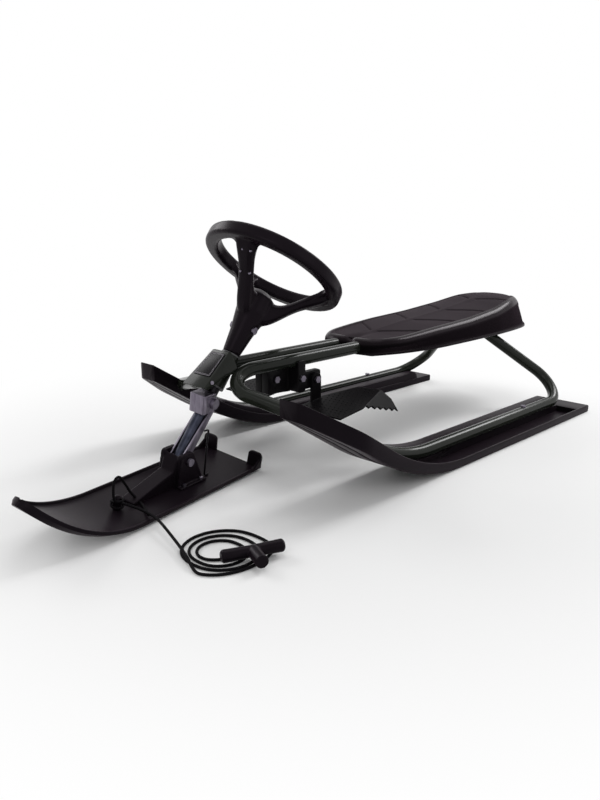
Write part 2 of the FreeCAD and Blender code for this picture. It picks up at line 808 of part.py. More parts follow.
def steering_wheel():
    """Dished wheel: rim, three spokes that rise from a deep hub, and the stem that fits over the shaft."""
    rim_centre = on_axis(rim_height, rim_radius)
    a, b = ahead * (rim_thick / 2), axis * (rim_deep / 2)
    corners = [rim_centre - a - b, rim_centre + a - b, rim_centre + a + b, rim_centre - a + b]
    section = Part.Face(bent_wire(corners, [rim_round] * 4, True))
    rim = section.revolve(on_axis(rim_height), axis, 360)
    hub_points = [
        on_axis(stem_low),
        on_axis(stem_low, stem_radius),
        on_axis(stem_high, hub_low_radius),
        on_axis(hub_high, hub_radius),
        on_axis(hub_top, hub_radius),
        on_axis(hub_crown, hub_cap_radius),
        on_axis(hub_crown),
    ]
    hub = Part.Face(Part.makePolygon(hub_points + hub_points[:1])).revolve(axis_foot, axis, 360)
    spokes = []
    for number in range(spoke_count):
        turn = 360 / spoke_count * number
        sections = []
        for reach_share, rise_share, deep, wide in zip(
                spoke_reach_shares, spoke_rise_shares, spoke_deeps, spoke_wides):
            height = spoke_root_height + (rim_height - spoke_root_height) * rise_share
            place = on_axis(height, rim_radius * reach_share)
            sections.append(rounded_section(place, V(0, 1, 0), axis, wide, deep))
        spoke = Part.makeLoft(sections, True, False)
        spoke.rotate(axis_foot, axis, turn)
        spokes.append(spoke)
    wheel = fused([hub, rim] + spokes)
    bore = rod(on_axis(stem_low - overrun), on_axis(shaft_high + weld_gap), shaft_radius + stem_clearance)
    wheel = wheel.cut(bore)
    side = V(0, hub_radius + overrun, 0)
    hole = rod(on_axis(wheel_bolt_height) - side, on_axis(wheel_bolt_height) + side,
               wheel_bolt_radius + bolt_clearance)
    pads = [rod(on_axis(wheel_bolt_height, 0, sign * wheel_bolt_seat),
                on_axis(wheel_bolt_height, 0, sign * (hub_radius + overrun)),
                wheel_bolt_head_radius + weld_gap) for sign in (-1, 1)]
    return wheel.cut(fused([hole] + pads))


def cross_bolt(centre, seat, radius, head_radius, head_height, tail):
    """Bolt across the sled through a centre: round head on the left seat, plain tail past the right one."""
    head_low = centre + V(0, seat + weld_gap, 0)
    shank = rod(centre - V(0, seat + tail, 0), head_low, radius)
    return fused([shank, rod(head_low, head_low + V(0, head_height, 0), head_radius)])


def cross_nut(centre, seat, radius, bolt_radius, height):
    """Six-sided nut on the right end of a cross bolt."""
    start = centre - V(0, seat + weld_gap, 0)
    end = start - V(0, height, 0)
    past = V(0, overrun, 0)
    return hexagon(start, end, radius).cut(rod(start + past, end - past, bolt_radius + bolt_clearance))


def steering_shaft():
    """Hollow shaft through the head tube, cross-drilled for the wheel bolt."""
    low, high = on_axis(shaft_low), on_axis(shaft_high)
    shaft = rod(low, high, shaft_radius).cut(rod(low, high, shaft_bore))
    side = V(0, shaft_radius + overrun, 0)
    centre = on_axis(wheel_bolt_height)
    return shaft.cut(rod(centre - side, centre + side, wheel_bolt_radius + bolt_clearance))


fork_front_x = axis_foot_x - fork_front_back
fork_rear_x = axis_foot_x - fork_rear_back
fork_bolt_centre = V(axis_foot_x - fork_bolt_back, 0, fork_bolt_z)


def fork_bracket():
    """Folded fork head: top, two rounded cheeks and a front web that ends above the strut."""
    outer_points = [
        V(fork_front_x, -fork_half_width, fork_low_z),
        V(fork_front_x, -fork_half_width, fork_top_z),
        V(fork_rear_x, -fork_half_width, fork_top_z),
        V(fork_rear_x, -fork_half_width, fork_low_z),
    ]
    outer = round_slab(outer_points, fork_round, V(0, 2 * fork_half_width, 0))
    low = V(fork_rear_x - overrun, fork_sheet - fork_half_width, fork_low_z - overrun)
    high = V(fork_front_x - fork_sheet, fork_half_width - fork_sheet, fork_top_z - fork_sheet)
    bracket = outer.cut(block(low, high))
    mouth_low = V(fork_rear_x, fork_sheet - fork_half_width, fork_low_z - overrun)
    mouth_high = V(fork_front_x + overrun, fork_half_width - fork_sheet, fork_web_low_z)
    bracket = bracket.cut(block(mouth_low, mouth_high))
    shaft_room = rod(on_axis(strut_top), on_axis(head_high), shaft_radius + bolt_clearance)
    side = V(0, fork_half_width + overrun, 0)
    hole = rod(fork_bolt_centre - side, fork_bolt_centre + side, fork_bolt_radius + bolt_clearance)
    return bracket.cut(shaft_room).cut(hole)


# The ski's bolt lies on the steering axis, so high that the lower edge of the turned ski is on the floor.
turn_rest = FreeCAD.Rotation(axis, steer_rest_deg)
turned_ahead = turn_rest.multVec(V(1, 0, 0))
turned_up = turn_rest.multVec(V(0, 0, 1))
turned_left = turn_rest.multVec(V(0, 1, 0))
ski_level = math.atan2(turned_ahead.z, turned_up.z)
ski_tilt = FreeCAD.Rotation(V(0, 1, 0), math.degrees(ski_level))
ski_turn = turn_rest.multiply(ski_tilt)
ski_up = ski_turn.multVec(V(0, 0, 1))
pivot_z = ski_pivot_height * ski_up.z - (ski_half_width - ski_sole_inset) * turned_left.z
pivot_height = pivot_z / math.cos(rake)
pivot = on_axis(pivot_height)


def strut_tube():
    """Round strut from the fork head down to the ski's bolt."""
    low, high = on_axis(pivot_height - strut_radius), on_axis(strut_top)
    tube = rod(low, high, strut_radius).cut(rod(on_axis(pivot_height + strut_radius), high, strut_bore))
    side = V(0, strut_radius + overrun, 0)
    tube = tube.cut(rod(pivot - side, pivot + side, pivot_bolt_radius + running_clearance))
    return tube.cut(rod(fork_bolt_centre - side, fork_bolt_centre + side, fork_bolt_radius + bolt_clearance))


def channel_cheek(side_y, thick):
    """Side of the fork channel: tapers down to a round eye at the ski's bolt."""
    points = [
        on_axis(channel_top, channel_front, side_y),
        on_axis(channel_top, -channel_back, side_y),
        on_axis(pivot_height, -strut_radius, side_y),
        on_axis(pivot_height, strut_radius, side_y),
    ]
    eye = rod(pivot + V(0, side_y, 0), pivot + V(0, side_y + thick, 0), strut_radius)
    return slab(points, V(0, thick, 0)).fuse(eye)


def fork_channel():
    """Folded channel behind the strut, with the cross bolts through both its sides."""
    inner = channel_half_width - channel_sheet
    left = channel_cheek(inner, channel_sheet)
    web_low = pivot_height + 2 * strut_radius
    low_back = -strut_radius - (channel_back - strut_radius) * (web_low - pivot_height) / (
        channel_top - pivot_height)
    web_points = [
        on_axis(channel_top, -channel_back, -inner - tiny),
        on_axis(channel_top, -channel_back + channel_sheet, -inner - tiny),
        on_axis(web_low, low_back + channel_sheet, -inner - tiny),
        on_axis(web_low, low_back, -inner - tiny),
    ]
    web = slab(web_points, V(0, 2 * (inner + tiny), 0))
    channel = fused([left, mirrored(left), web]).cut(
        rod(on_axis(0), on_axis(head_high), strut_radius + bolt_clearance))
    side = V(0, fork_half_width + overrun, 0)
    channel = channel.cut(rod(pivot - side, pivot + side, pivot_bolt_radius + running_clearance))
    return channel.cut(rod(fork_bolt_centre - side, fork_bolt_centre + side, fork_bolt_radius + bolt_clearance))


# Front ski, drawn about its bolt with the sole level, then set on the bolt

sole_z = -ski_pivot_height
ski_bend = math.radians(ski_bend_deg)
ski_bend_length = ski_bend_radius * ski_bend
ski_tip_length = ski_flat + ski_bend_length


def ski_half(along):
    """Half width of the ski at a length along its sole: straight, then a quarter ellipse to the tip."""
    left = ski_tip_length - along
    if left >= ski_taper_length:
        return ski_half_width
    return ski_half_width * math.sqrt(max(1 - (1 - left / ski_taper_length) ** 2, ski_tip_share ** 2))


def ski_section(along):
    """Cross section of the ski at a length along its sole: bevelled sole, raised edges, sunk deck."""
    turn = max(along - ski_flat, 0) / ski_bend_radius
    up = V(-math.sin(turn), 0, math.cos(turn))
    if turn:
        foot = V(ski_flat, 0, sole_z + ski_bend_radius) - up * ski_bend_radius
    else:
        foot = V(along, 0, sole_z)
    half = ski_half(along)
    sole_half = half * (1 - ski_sole_inset / ski_half_width)
    deck_half = half * (1 - ski_lip_width / ski_half_width)
    edge = ski_thick + ski_lip
    side = [(sole_half, 0), (half, ski_sole_rise), (half, edge), (deck_half, edge), (deck_half, ski_thick)]
    points = [foot + V(0, y, 0) + up * height for y, height in side]
    points += [foot - V(0, y, 0) + up * height for y, height in reversed(side)]
    return Part.makePolygon(points + points[:1])


def front_ski():
    """Ski plate with raised edges, a round upturned tip and an upright tab on each rear corner."""
    places = [-ski_tail, ski_flat]
    for step in range(1, ski_taper_steps + 1):
        places.append(ski_flat + ski_bend_length * math.sin(math.pi / 2 * step / ski_taper_steps))
    board = Part.makeLoft([ski_section(place) for place in places], True, True)
    tab_low = sole_z + ski_thick - tiny
    tab_high = sole_z + ski_thick + ski_tab_height
    points = [
        V(-ski_tail, ski_half_width - ski_tab_width, tab_low),
        V(-ski_tail, ski_half_width - ski_tab_width, tab_high),
        V(-ski_tail, ski_half_width, tab_high),
        V(-ski_tail, ski_half_width, tab_low),
    ]
    wire = bent_wire(points, [tiny, ski_tab_round, ski_tab_round, tiny], True)
    tab = Part.Face(wire).extrude(V(ski_lip_width, 0, 0))
    foot = [
        V(-ski_tail, ski_half_width - ski_lip_width, tab_low),
        V(-ski_tail, ski_half_width - ski_lip_width, tab_high - ski_tab_round),
        V(ski_tab_length - ski_tail, ski_half_width - ski_lip_width, tab_low),
    ]
    brace = slab(foot, V(0, ski_lip_width, 0))
    ski = fused([board, tab, brace, mirrored(tab), mirrored(brace)])
    for place in saddle_screw_places():
        low = V(place.x, place.y, sole_z + ski_thick / 2)
        ski = ski.cut(rod(low, place, saddle_screw_radius + bolt_clearance))
    return ski


deck_z = sole_z + ski_thick
saddle_outer = saddle_inner + saddle_cheek
flange_top_z = deck_z + saddle_flange_thick


def saddle_screw_places():
    """Points on the saddle's flanges where its screws stand."""
    y = saddle_outer + saddle_flange / 2
    return [V(x, side * y, flange_top_z) for x in saddle_screw_xs for side in (-1, 1)]


def ski_saddle():
    """Moulded saddle: two cheeks about the bolt, a narrower nose that closes them ahead, and screw flanges."""
    base = deck_z + weld_gap
    points = [
        V(-saddle_rear, saddle_inner, base),
        V(-saddle_crown, saddle_inner, saddle_crown / 2),
        V(-saddle_crown, saddle_inner, saddle_crown),
        V(saddle_tower_front, saddle_inner, saddle_crown),
        V(saddle_tower_foot, saddle_inner, base),
    ]
    rounds = [tiny, saddle_crown, saddle_crown / 2, saddle_tower_round, tiny]
    cheek = Part.Face(bent_wire(points, rounds, True)).extrude(V(0, saddle_cheek, 0))
    bridge_top = saddle_crown - saddle_bridge_inset
    bridge_points = [
        V(saddle_bridge_start, -saddle_inner - tiny, base),
        V(saddle_bridge_start, -saddle_inner - tiny, bridge_top),
        V(saddle_tower_front - saddle_bridge_inset, -saddle_inner - tiny, bridge_top),
        V(saddle_shoulder, -saddle_inner - tiny, base + saddle_shoulder_height - saddle_bridge_inset),
        V(saddle_front, -saddle_inner - tiny, base + saddle_foot_height),
        V(saddle_front, -saddle_inner - tiny, base),
    ]
    bridge = slab(bridge_points, V(0, 2 * (saddle_inner + tiny), 0))
    flange = block(V(-saddle_rear, saddle_outer - tiny, base),
                   V(saddle_tower_foot, saddle_outer + saddle_flange, base + saddle_flange_thick - weld_gap))
    saddle = fused([cheek, mirrored(cheek), bridge, flange, mirrored(flange)])
    side = V(0, saddle_outer + overrun, 0)
    saddle = saddle.cut(rod(V(0, 0, 0) - side, side, pivot_bolt_radius + bolt_clearance))
    for place in saddle_screw_places():
        saddle = saddle.cut(rod(V(place.x, place.y, sole_z), place + V(0, 0, overrun),
                                saddle_screw_radius + bolt_clearance))
    return saddle


def saddle_screw(place):
    """Screw through the saddle's flange into the ski."""
    seat = place + V(0, 0, weld_gap)
    tip = V(place.x, place.y, sole_z + ski_thick / 2 + bolt_clearance)
    head = rod(seat, seat + V(0, 0, saddle_screw_head_height), saddle_screw_head_radius)
    return fused([rod(tip, seat, saddle_screw_radius), head])


def ski_spring():
    """Bent wire behind the saddle: a foot on the deck, an arm up beside the fork and a hook ahead."""
    bend = V(spring_foot_x, spring_arm_y, deck_z + weld_gap + spring_wire_radius)
    start = bend - V(spring_hook, 0, 0)
    top = bend + V(0, 0, spring_arm_top)
    end = top + V(spring_hook, 0, 0)
    radii = [2 * spring_wire_radius] * 2
    return swept(bent_wire([start, bend, top, end], radii), spring_wire_radius)


def rope_post():
    """Short post on the deck with the eye that holds the rope's knot."""
    foot = V(post_x, post_y, deck_z + weld_gap)
    top = foot + V(0, 0, post_height)
    post = fused([rod(foot, top, post_radius), Part.makeSphere(post_radius, top)])
    side = V(0, post_radius + overrun, 0)
    return post.cut(rod(top - side, top + side, post_eye_radius))


# Brake

axle_x = runner_length - axle_back
axle_centre = V(axle_x, 0, axle_z)
housing_front_x = axle_x + housing_front_ahead
housing_wall_x = axle_x + housing_wall_ahead
housing_rear_x = axle_x + housing_rear_ahead
housing_bolt_x = axle_x + housing_bolt_ahead
housing_nose_bolt_x = axle_x + housing_nose_bolt_ahead


def side_slab(rear_x, front_x, low_z, high_z, near_y, far_y):
    """Upright slab with rounded corners in side view."""
    points = [V(rear_x, near_y, low_z), V(front_x, near_y, low_z), V(front_x, near_y, high_z),
              V(rear_x, near_y, high_z)]
    return round_slab(points, housing_round, V(0, far_y - near_y, 0))


def housing_half():
    """Left half of the brake housing: a wall that hugs the tube, a nose ahead and an ear for the axle."""
    split = housing_split / 2
    nose_high_z = tube_top_z - tube_radius - weld_gap
    wall = side_slab(housing_rear_x, housing_wall_x, housing_low_z, housing_high_z, split, housing_half_width)
    nose = side_slab(housing_rear_x, housing_front_x, housing_low_z, nose_high_z, split, housing_nose_half_width)
    ear = side_slab(housing_rear_x - ear_length, housing_wall_x, ear_low_z, ear_high_z, ear_inner_y,
                    housing_half_width)
    half = fused([wall, nose, ear]).cut(tube_room)
    across = V(0, housing_half_width + overrun, 0)
    half = half.cut(rod(axle_centre, axle_centre + across, axle_radius + running_clearance))
    for x in (housing_bolt_x, housing_nose_bolt_x):
        centre = V(x, 0, housing_bolt_z)
        half = half.cut(rod(centre, centre + across, housing_bolt_radius + bolt_clearance))
    return half


def housing_bolt(x, half_width):
    """Bolt across both halves of the housing, with a head at each side."""
    centre = V(x, 0, housing_bolt_z)
    left = centre + V(0, half_width + weld_gap, 0)
    right = centre - V(0, half_width + weld_gap, 0)
    heads = [hexagon(left, left + V(0, housing_bolt_head_height, 0), housing_bolt_head_radius),
             hexagon(right, right - V(0, housing_bolt_head_height, 0), housing_bolt_head_radius)]
    return fused([rod(right, left, housing_bolt_radius)] + heads)


axle_half = housing_half_width + axle_end_gap + pedal_arm_gap
arm_outer_y = axle_half + pedal_sheet


def brake_axle():
    """Round axle through both ears, a little proud of them."""
    bar = rod(axle_centre - V(0, axle_half, 0), axle_centre + V(0, axle_half, 0), axle_radius)
    return bar.cut(rod(axle_centre - V(0, arm_outer_y, 0), axle_centre + V(0, arm_outer_y, 0), axle_bolt_radius))


pedal_front_x = axle_x + pedal_front_ahead
pedal_rear_x = axle_x - pedal_rear_back
pedal_corner_x = axle_x - pedal_corner_back
pedal_slope = (pedal_rear_z - pedal_front_z) / (pedal_front_x - pedal_rear_x)


def pedal_point(x, y):
    """Point on the pedal's upper face."""
    return V(x, y, pedal_front_z + pedal_slope * (pedal_front_x - x))


def brake_pedal():
    """Left pedal: arm off the axle, ribbed foot plate and a toothed claw folded down behind."""
    sheet = V(0, 0, -pedal_sheet)
    arm_y = axle_half + weld_gap
    arm_top = axle_z + pedal_arm_half_width
    arm_points = [
        V(axle_x + pedal_arm_half_width, arm_y, pedal_point(axle_x + pedal_arm_half_width, 0).z - pedal_sheet),
        V(axle_x + pedal_arm_half_width, arm_y, arm_top),
        V(axle_x - pedal_arm_half_width, arm_y, arm_top),
        V(axle_x - pedal_arm_half_width, arm_y, pedal_point(axle_x - pedal_arm_half_width, 0).z - pedal_sheet),
    ]
    arm_round = pedal_arm_half_width * pedal_arm_round_share
    radii = [tiny, arm_round, arm_round, tiny]
    arm = Part.Face(bent_wire(arm_points, radii, True)).extrude(V(0, pedal_arm_step, 0))
    claw_front = pedal_point(pedal_corner_x, pedal_outer_y)
    claw_top = pedal_point(pedal_rear_x, pedal_rear_y)
    plate_points = [
        pedal_point(pedal_front_x, arm_y),
        pedal_point(pedal_front_x, pedal_outer_y),
        claw_front,
        claw_top,
        pedal_point(pedal_rear_x + pedal_round, pedal_inner_rear_y),
        pedal_point(axle_x - 2 * pedal_arm_half_width, arm_y),
    ]
    plate = slab(plate_points, sheet)
    claw_low = V(axle_x - claw_rear_back, claw_rear_y, claw_rear_z)
    edge = claw_low - claw_front
    face_normal = (claw_top - claw_front).cross(edge).normalize()
    drop = face_normal.cross(edge).normalize() * claw_tooth_depth
    teeth = []
    for number in range(claw_teeth):
        teeth.append(claw_front + edge * (number / claw_teeth))
        teeth.append(claw_front + edge * ((number + claw_tooth_peak_share) / claw_teeth) - drop)
    bulge = (claw_top + claw_low) * 0.5 + (claw_top - claw_front) * claw_bulge_share
    claw = slab([claw_top] + teeth + [claw_low, bulge], face_normal * pedal_sheet)
    hole_start = axle_centre + V(0, axle_half - overrun, 0)
    pedal = fused([arm, plate, claw])
    hole_end = axle_centre + V(0, arm_outer_y + overrun, 0)
    return pedal.cut(rod(hole_start, hole_end, axle_bolt_radius + bolt_clearance))


def axle_bolt():
    """Bolt that holds the pedal's arm on the axle's left end."""
    seat = axle_centre + V(0, axle_half + weld_gap + pedal_arm_step + weld_gap, 0)
    tip = axle_centre + V(0, axle_half - 2 * axle_bolt_head_radius, 0)
    head = hexagon(seat, seat + V(0, axle_bolt_head_height, 0), axle_bolt_head_radius)
    return fused([rod(tip, seat, axle_bolt_radius - bolt_clearance), head])


def half_turn_arcs(points):
    """Arcs through every second point of a line of points that starts and ends on an arc's end."""
    return [Part.Arc(points[place], points[place + 1], points[place + 2]).toShape()
            for place in range(0, len(points) - 2, 2)]


def least_self_gap(points, radius, apart):
    """Least clear distance between parts of a tube that are more than a stretch apart along it."""
    least = None
    lengths = [0.0]
    for before, after in zip(points, points[1:]):
        lengths.append(lengths[-1] + (after - before).Length)
    for first in range(len(points)):
        for second in range(first + 1, len(points)):
            if lengths[second] - lengths[first] > apart:
                gap = (points[second] - points[first]).Length - 2 * radius
                least = gap if least is None else min(least, gap)
    return least


def brake_spring():
    """Return spring: close turns round the axle with a straight leg at each end."""
    radius = axle_radius + brake_spring_gap + brake_spring_wire / 2
    start_y = -brake_spring_turns * brake_spring_pitch / 2
    points = []
    for step in range(4 * brake_spring_turns + 1):
        turn = math.pi / 2 * step
        y = start_y + brake_spring_pitch * step / 4
        points.append(axle_centre + V(radius * math.sin(turn), y, radius * math.cos(turn)))
    edges = half_turn_arcs(points)
    first, last = edges[0], edges[-1]
    lead = first.tangentAt(first.FirstParameter) * -brake_spring_leg
    tail = last.tangentAt(last.LastParameter) * brake_spring_leg
    edges.insert(0, Part.LineSegment(points[0] + lead, points[0]).toShape())
    edges.append(Part.LineSegment(points[-1], points[-1] + tail).toShape())
    wire = Part.Wire(edges)
    print("brake spring least self gap", least_self_gap(wire.discretize(Distance=brake_spring_wire / 2),
                                                        brake_spring_wire / 2, 2 * brake_spring_pitch))
    return swept(wire, brake_spring_wire / 2)


# Tow rope

rope_route = [axis_foot + point for point in rope_points]
coil_near_x = axis_foot_x - coil_near_back
handle_start = axis_foot + handle_start_point
handle_end = axis_foot + handle_end_point


def tube_volume_share(tube, wire):
    """Volume of a length of rope as a share of its section times its length."""
    return tube.Volume / (math.pi * rope_radius ** 2 * wire.Length)


def rope_run():
    """Free run of the rope from its knot to the floor, with its bends as wide as the runs allow."""
    radii = []
    for before, here, after in zip(rope_route, rope_route[1:], rope_route[2:]):
        turn = math.pi - (before - here).getAngle(after - here)
        shorter = min((before - here).Length, (after - here).Length)
        radii.append(rope_bend_share * shorter / math.tan(turn / 2))
    print("rope bend radii", [round(radius, 1) for radius in radii])
    wire = bent_wire(rope_route, radii)
    tube = swept(wire, rope_radius)
    print("rope run length", wire.Length, "volume share", tube_volume_share(tube, wire))
    return tube


def rope_knot():
    """Round knot at the rope's start, with the rope's own way out of it."""
    way = rod(rope_route[0], rope_route[1], rope_radius + bolt_clearance)
    return Part.makeSphere(rope_knot_radius, rope_route[0]).cut(way)


def rope_coil_wire():
    """Loose flat coil: a wide first half loop, half circles that close in, then a tail up to the handle."""
    start = rope_route[-1] + V(0, rope_joint_gap, 0)
    lead, wide = coil_lead_radius, coil_round_radius
    bow = math.sin(math.pi / 4)
    level = start + V(-lead, lead, 0)
    last = V(coil_near_x + wide, level.y, start.z)
    place = V(coil_near_x, level.y - wide, start.z)
    edges = [
        Part.Arc(start, start + V(lead * bow - lead, lead * bow, 0), level).toShape(),
        Part.LineSegment(level, last).toShape(),
        Part.Arc(last, V(last.x - wide * bow, place.y + wide * bow, start.z), place).toShape(),
    ]
    for step in range(1, coil_half_turns):
        side = 1 if step % 2 == 0 else -1
        near_x = coil_near_x + coil_near_step * (step // 2)
        next_x = near_x if side > 0 else start.x - coil_far_step * (step // 2 + 1)
        begin = place + V(0, side * coil_stretch, 0)
        end = V(next_x, begin.y, begin.z)
        middle = (begin + end) * 0.5 + V(0, side * (end - begin).Length / 2, 0)
        edges.append(Part.LineSegment(place, begin).toShape())
        edges.append(Part.Arc(begin, middle, end).toShape())
        place = end
    next_x = coil_near_x + coil_near_step * coil_half_turns / 2
    radius = (place.x - next_x) / 2
    centre = place - V(radius, 0, 0)
    half = math.radians(coil_tail_turn_deg) / 2
    middle = centre + V(math.cos(half), math.sin(half), 0) * radius
    end = centre + V(math.cos(2 * half), math.sin(2 * half), 0) * radius
    edges.append(Part.Arc(place, middle, end).toShape())
    heading = V(-math.sin(2 * half), math.cos(2 * half), 0)
    bend = end + heading * coil_tail_level
    tip = bend + heading * coil_tail_run + V(0, 0, coil_tail_rise)
    edges += bent_wire([end, bend, tip], [coil_tail_radius]).Edges
    print("rope coil tail ends at", tip, "handle middle", (handle_start + handle_end) * 0.5)
    return Part.Wire(edges), bend, tip


coil_wire, coil_tail_bend, coil_tail_tip = rope_coil_wire()


def rope_coil():
    """The coil as one unbroken tube."""
    wire = coil_wire
    points = wire.discretize(Distance=rope_radius)
    print("rope coil least self gap", least_self_gap(points, rope_radius, coil_gap_stretch))
    tube = swept(wire, rope_radius)
    print("rope coil length", wire.Length, "volume share", tube_volume_share(tube, wire))
    return tube


def pull_handle():
    """Hand grip with a slight waist, a boss at its middle and a blind hole for the rope's end."""
    along = handle_end - handle_start
    line = V(along).normalize()
    middle = (handle_start + handle_end) * 0.5
    out = V(-line.y, line.x, 0)
    out = out if out.x > 0 else out * -1
    up = V(0, 0, 1)
    profile = [
        handle_start,
        handle_start + up * (handle_radius - handle_end_round),
        handle_start + line * handle_end_round + up * handle_radius,
        middle + up * handle_waist_radius,
        handle_end - line * handle_end_round + up * handle_radius,
        handle_end + up * (handle_radius - handle_end_round),
        handle_end,
    ]
    grip = Part.Face(Part.makePolygon(profile + profile[:1])).revolve(middle, line, 360)
    boss = rod(middle, middle + out * handle_boss_length, handle_boss_radius)
    entry = (coil_tail_tip - coil_tail_bend).normalize()
    way = rod(coil_tail_tip - entry * handle_radius, coil_tail_tip + entry * bolt_clearance,
              rope_radius + bolt_clearance)
    return fused([grip, boss]).cut(way)


# The whole sled

root = {}
left_runner = runner()
root["runner_left"] = left_runner
root["runner_right"] = mirrored(left_runner)
left_tube = frame_tube()
root["frame_tube_left"] = left_tube
root["frame_tube_right"] = mirrored(left_tube)
left_sleeve = tube_sleeve()
root["tube_sleeves"] = group([left_sleeve, mirrored(left_sleeve)])
left_screw = runner_screw()
root["runner_screws"] = group([left_screw, mirrored(left_screw)])
root["seat_shell"] = seat_shell()
root["seat_bracket_rear"] = seat_bracket(seat_bracket_xs[0])
root["seat_bracket_front"] = seat_bracket(seat_bracket_xs[1])
root["seat_screws"] = group([seat_screw(place) for place in seat_screw_places()])
root["bracket_rivets"] = group([bracket_rivet(place) for place in bracket_rivet_places()])
root["head_tube"] = head_tube()
root["head_bush_upper"] = head_bush(head_high, -1)
root["head_bush_lower"] = head_bush(head_low, 1)
root["head_hood"] = head_hood()
root["label_panel"] = label_panel()
root["hood_rivets"] = hood_rivets()
left_half = housing_half()
root["brake_housing_left"] = left_half
root["brake_housing_right"] = mirrored(left_half)
root["housing_bolts"] = group([housing_bolt(housing_bolt_x, housing_half_width),
                               housing_bolt(housing_nose_bolt_x, housing_nose_half_width)])

brake = {}
brake["brake_axle"] = brake_axle()
left_pedal = brake_pedal()
brake["brake_pedal_left"] = left_pedal
brake["brake_pedal_right"] = mirrored(left_pedal)
left_bolt = axle_bolt()
brake["axle_bolts"] = group([left_bolt, mirrored(left_bolt)])
brake["brake_spring"] = brake_spring()

steering = {}
steering["steering_wheel"] = steering_wheel()
steering["steering_shaft"] = steering_shaft()
bolt_centre = on_axis(wheel_bolt_height)
steering["wheel_bolt"] = cross_bolt(bolt_centre, wheel_bolt_seat, wheel_bolt_radius, wheel_bolt_head_radius,
                                    wheel_bolt_head_height, wheel_nut_height)
steering["wheel_nut"] = cross_nut(bolt_centre, wheel_bolt_seat, wheel_bolt_head_radius, wheel_bolt_radius,
                                  wheel_nut_height)
steering["fork_bracket"] = fork_bracket()
steering["strut_tube"] = strut_tube()
steering["fork_channel"] = fork_channel()
steering["fork_bolt"] = cross_bolt(fork_bolt_centre, fork_half_width, fork_bolt_radius, fork_bolt_head_radius,
                                   fork_bolt_head_height, fork_nut_height)
steering["fork_nut"] = cross_nut(fork_bolt_centre, fork_half_width, fork_bolt_head_radius, fork_bolt_radius,
                                 fork_nut_height)

ski = {}
ski["front_ski"] = front_ski()
ski["ski_saddle"] = ski_saddle()
ski["saddle_screws"] = group([saddle_screw(place) for place in saddle_screw_places()])
ski["pivot_bolt"] = cross_bolt(V(0, 0, 0), saddle_outer, pivot_bolt_radius, pivot_head_radius,
                               pivot_head_height, pivot_nut_height)
ski["pivot_nut"] = cross_nut(V(0, 0, 0), saddle_outer, pivot_head_radius, pivot_bolt_radius, pivot_nut_height)
ski["ski_spring"] = ski_spring()
ski["rope_post"] = rope_post()

rope = {}
rope["tow_rope"] = rope_run()
rope["tow_rope_coil"] = rope_coil()
rope["rope_knot"] = rope_knot()
rope["pull_handle"] = pull_handle()

for shape in steering.values():
    shape.rotate(axis_foot, axis, steer_rest_deg)
for shape in ski.values():
    shape.Placement = FreeCAD.Placement(pivot, ski_turn).multiply(shape.Placement)

# The origin is on the floor under the middle of the sled's length, the rope apart.
standing = {**root, **brake, **steering, **ski}
reach = group(list(standing.values())).optimalBoundingBox(False, False)
origin = V((reach.XMin + reach.XMax) / 2, 0, 0)
print("origin from runner tail", origin.x, "lowest", reach.ZMin, "height", reach.ZMax, "half width", reach.YMax)
print("steering axis", axis, "foot", axis_foot - origin)
print("ski bolt", pivot - origin, "along", turned_left)
print("brake axle", axle_centre - origin)
for name, shape in {**standing, **rope}.items():
    shape.translate(origin * -1)
    shape.exportStep(os.path.join("parts", name + ".step"))
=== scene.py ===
# Steering sled: its finish, moulded forms and cord, over the CAD frame that carries and moves them. Places
# are in mm from the runners' rear end, the sled's middle and the floor, until at() makes them metres.
import json
import math

import bmesh
import bpy
import mathutils
import numpy as np
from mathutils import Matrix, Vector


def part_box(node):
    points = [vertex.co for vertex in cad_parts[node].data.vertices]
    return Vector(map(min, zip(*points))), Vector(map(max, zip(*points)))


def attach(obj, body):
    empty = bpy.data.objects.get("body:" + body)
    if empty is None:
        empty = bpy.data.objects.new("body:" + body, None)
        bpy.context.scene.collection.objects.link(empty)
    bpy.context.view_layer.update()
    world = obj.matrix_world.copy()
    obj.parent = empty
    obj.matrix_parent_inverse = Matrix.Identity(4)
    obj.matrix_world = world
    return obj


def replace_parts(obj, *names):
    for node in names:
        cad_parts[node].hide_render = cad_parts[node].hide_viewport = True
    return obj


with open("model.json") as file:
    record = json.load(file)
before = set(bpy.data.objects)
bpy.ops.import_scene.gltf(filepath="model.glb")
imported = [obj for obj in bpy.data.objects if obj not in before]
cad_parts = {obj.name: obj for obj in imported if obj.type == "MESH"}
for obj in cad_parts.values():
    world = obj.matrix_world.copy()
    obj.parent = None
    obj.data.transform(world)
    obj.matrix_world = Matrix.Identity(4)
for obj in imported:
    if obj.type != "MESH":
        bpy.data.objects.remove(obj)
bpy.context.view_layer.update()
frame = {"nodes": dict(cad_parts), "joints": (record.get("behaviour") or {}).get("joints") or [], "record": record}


# Runners: two hollow skis moulded in polyethylene, mirror images of each other, screwed under the frame
# tubes. A lip runs all round, the tail is solid, a rail stands along the inner side and two grooves run along
# the sole.
runner_inner, runner_width, runner_length = 154.0, 96.0, 807.0
runner_flat, runner_bend, runner_ramp = 477.0, 400.0, math.radians(32)
runner_floor, runner_wall, runner_lip, runner_tip_lip, runner_ledge = 4.0, 4.0, 15.0, 24.0, 50.0
rail_span, rail_height, rail_edge, rail_end, rail_nose = (4.0, 30.0), 30.0, 5.0, 690.0, 9.0
rib_span, rib_height = (42.0, 50.0), 16.0
taper_start, tip_width, taper_bends = 735.0, 44.0, (45, 22)
lip_round, end_round, wall_slope, rail_slope, ledge_slope = 1.4, 1.2, 0.7, 0.6, 0.8
tail_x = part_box("runner_left")[0].x


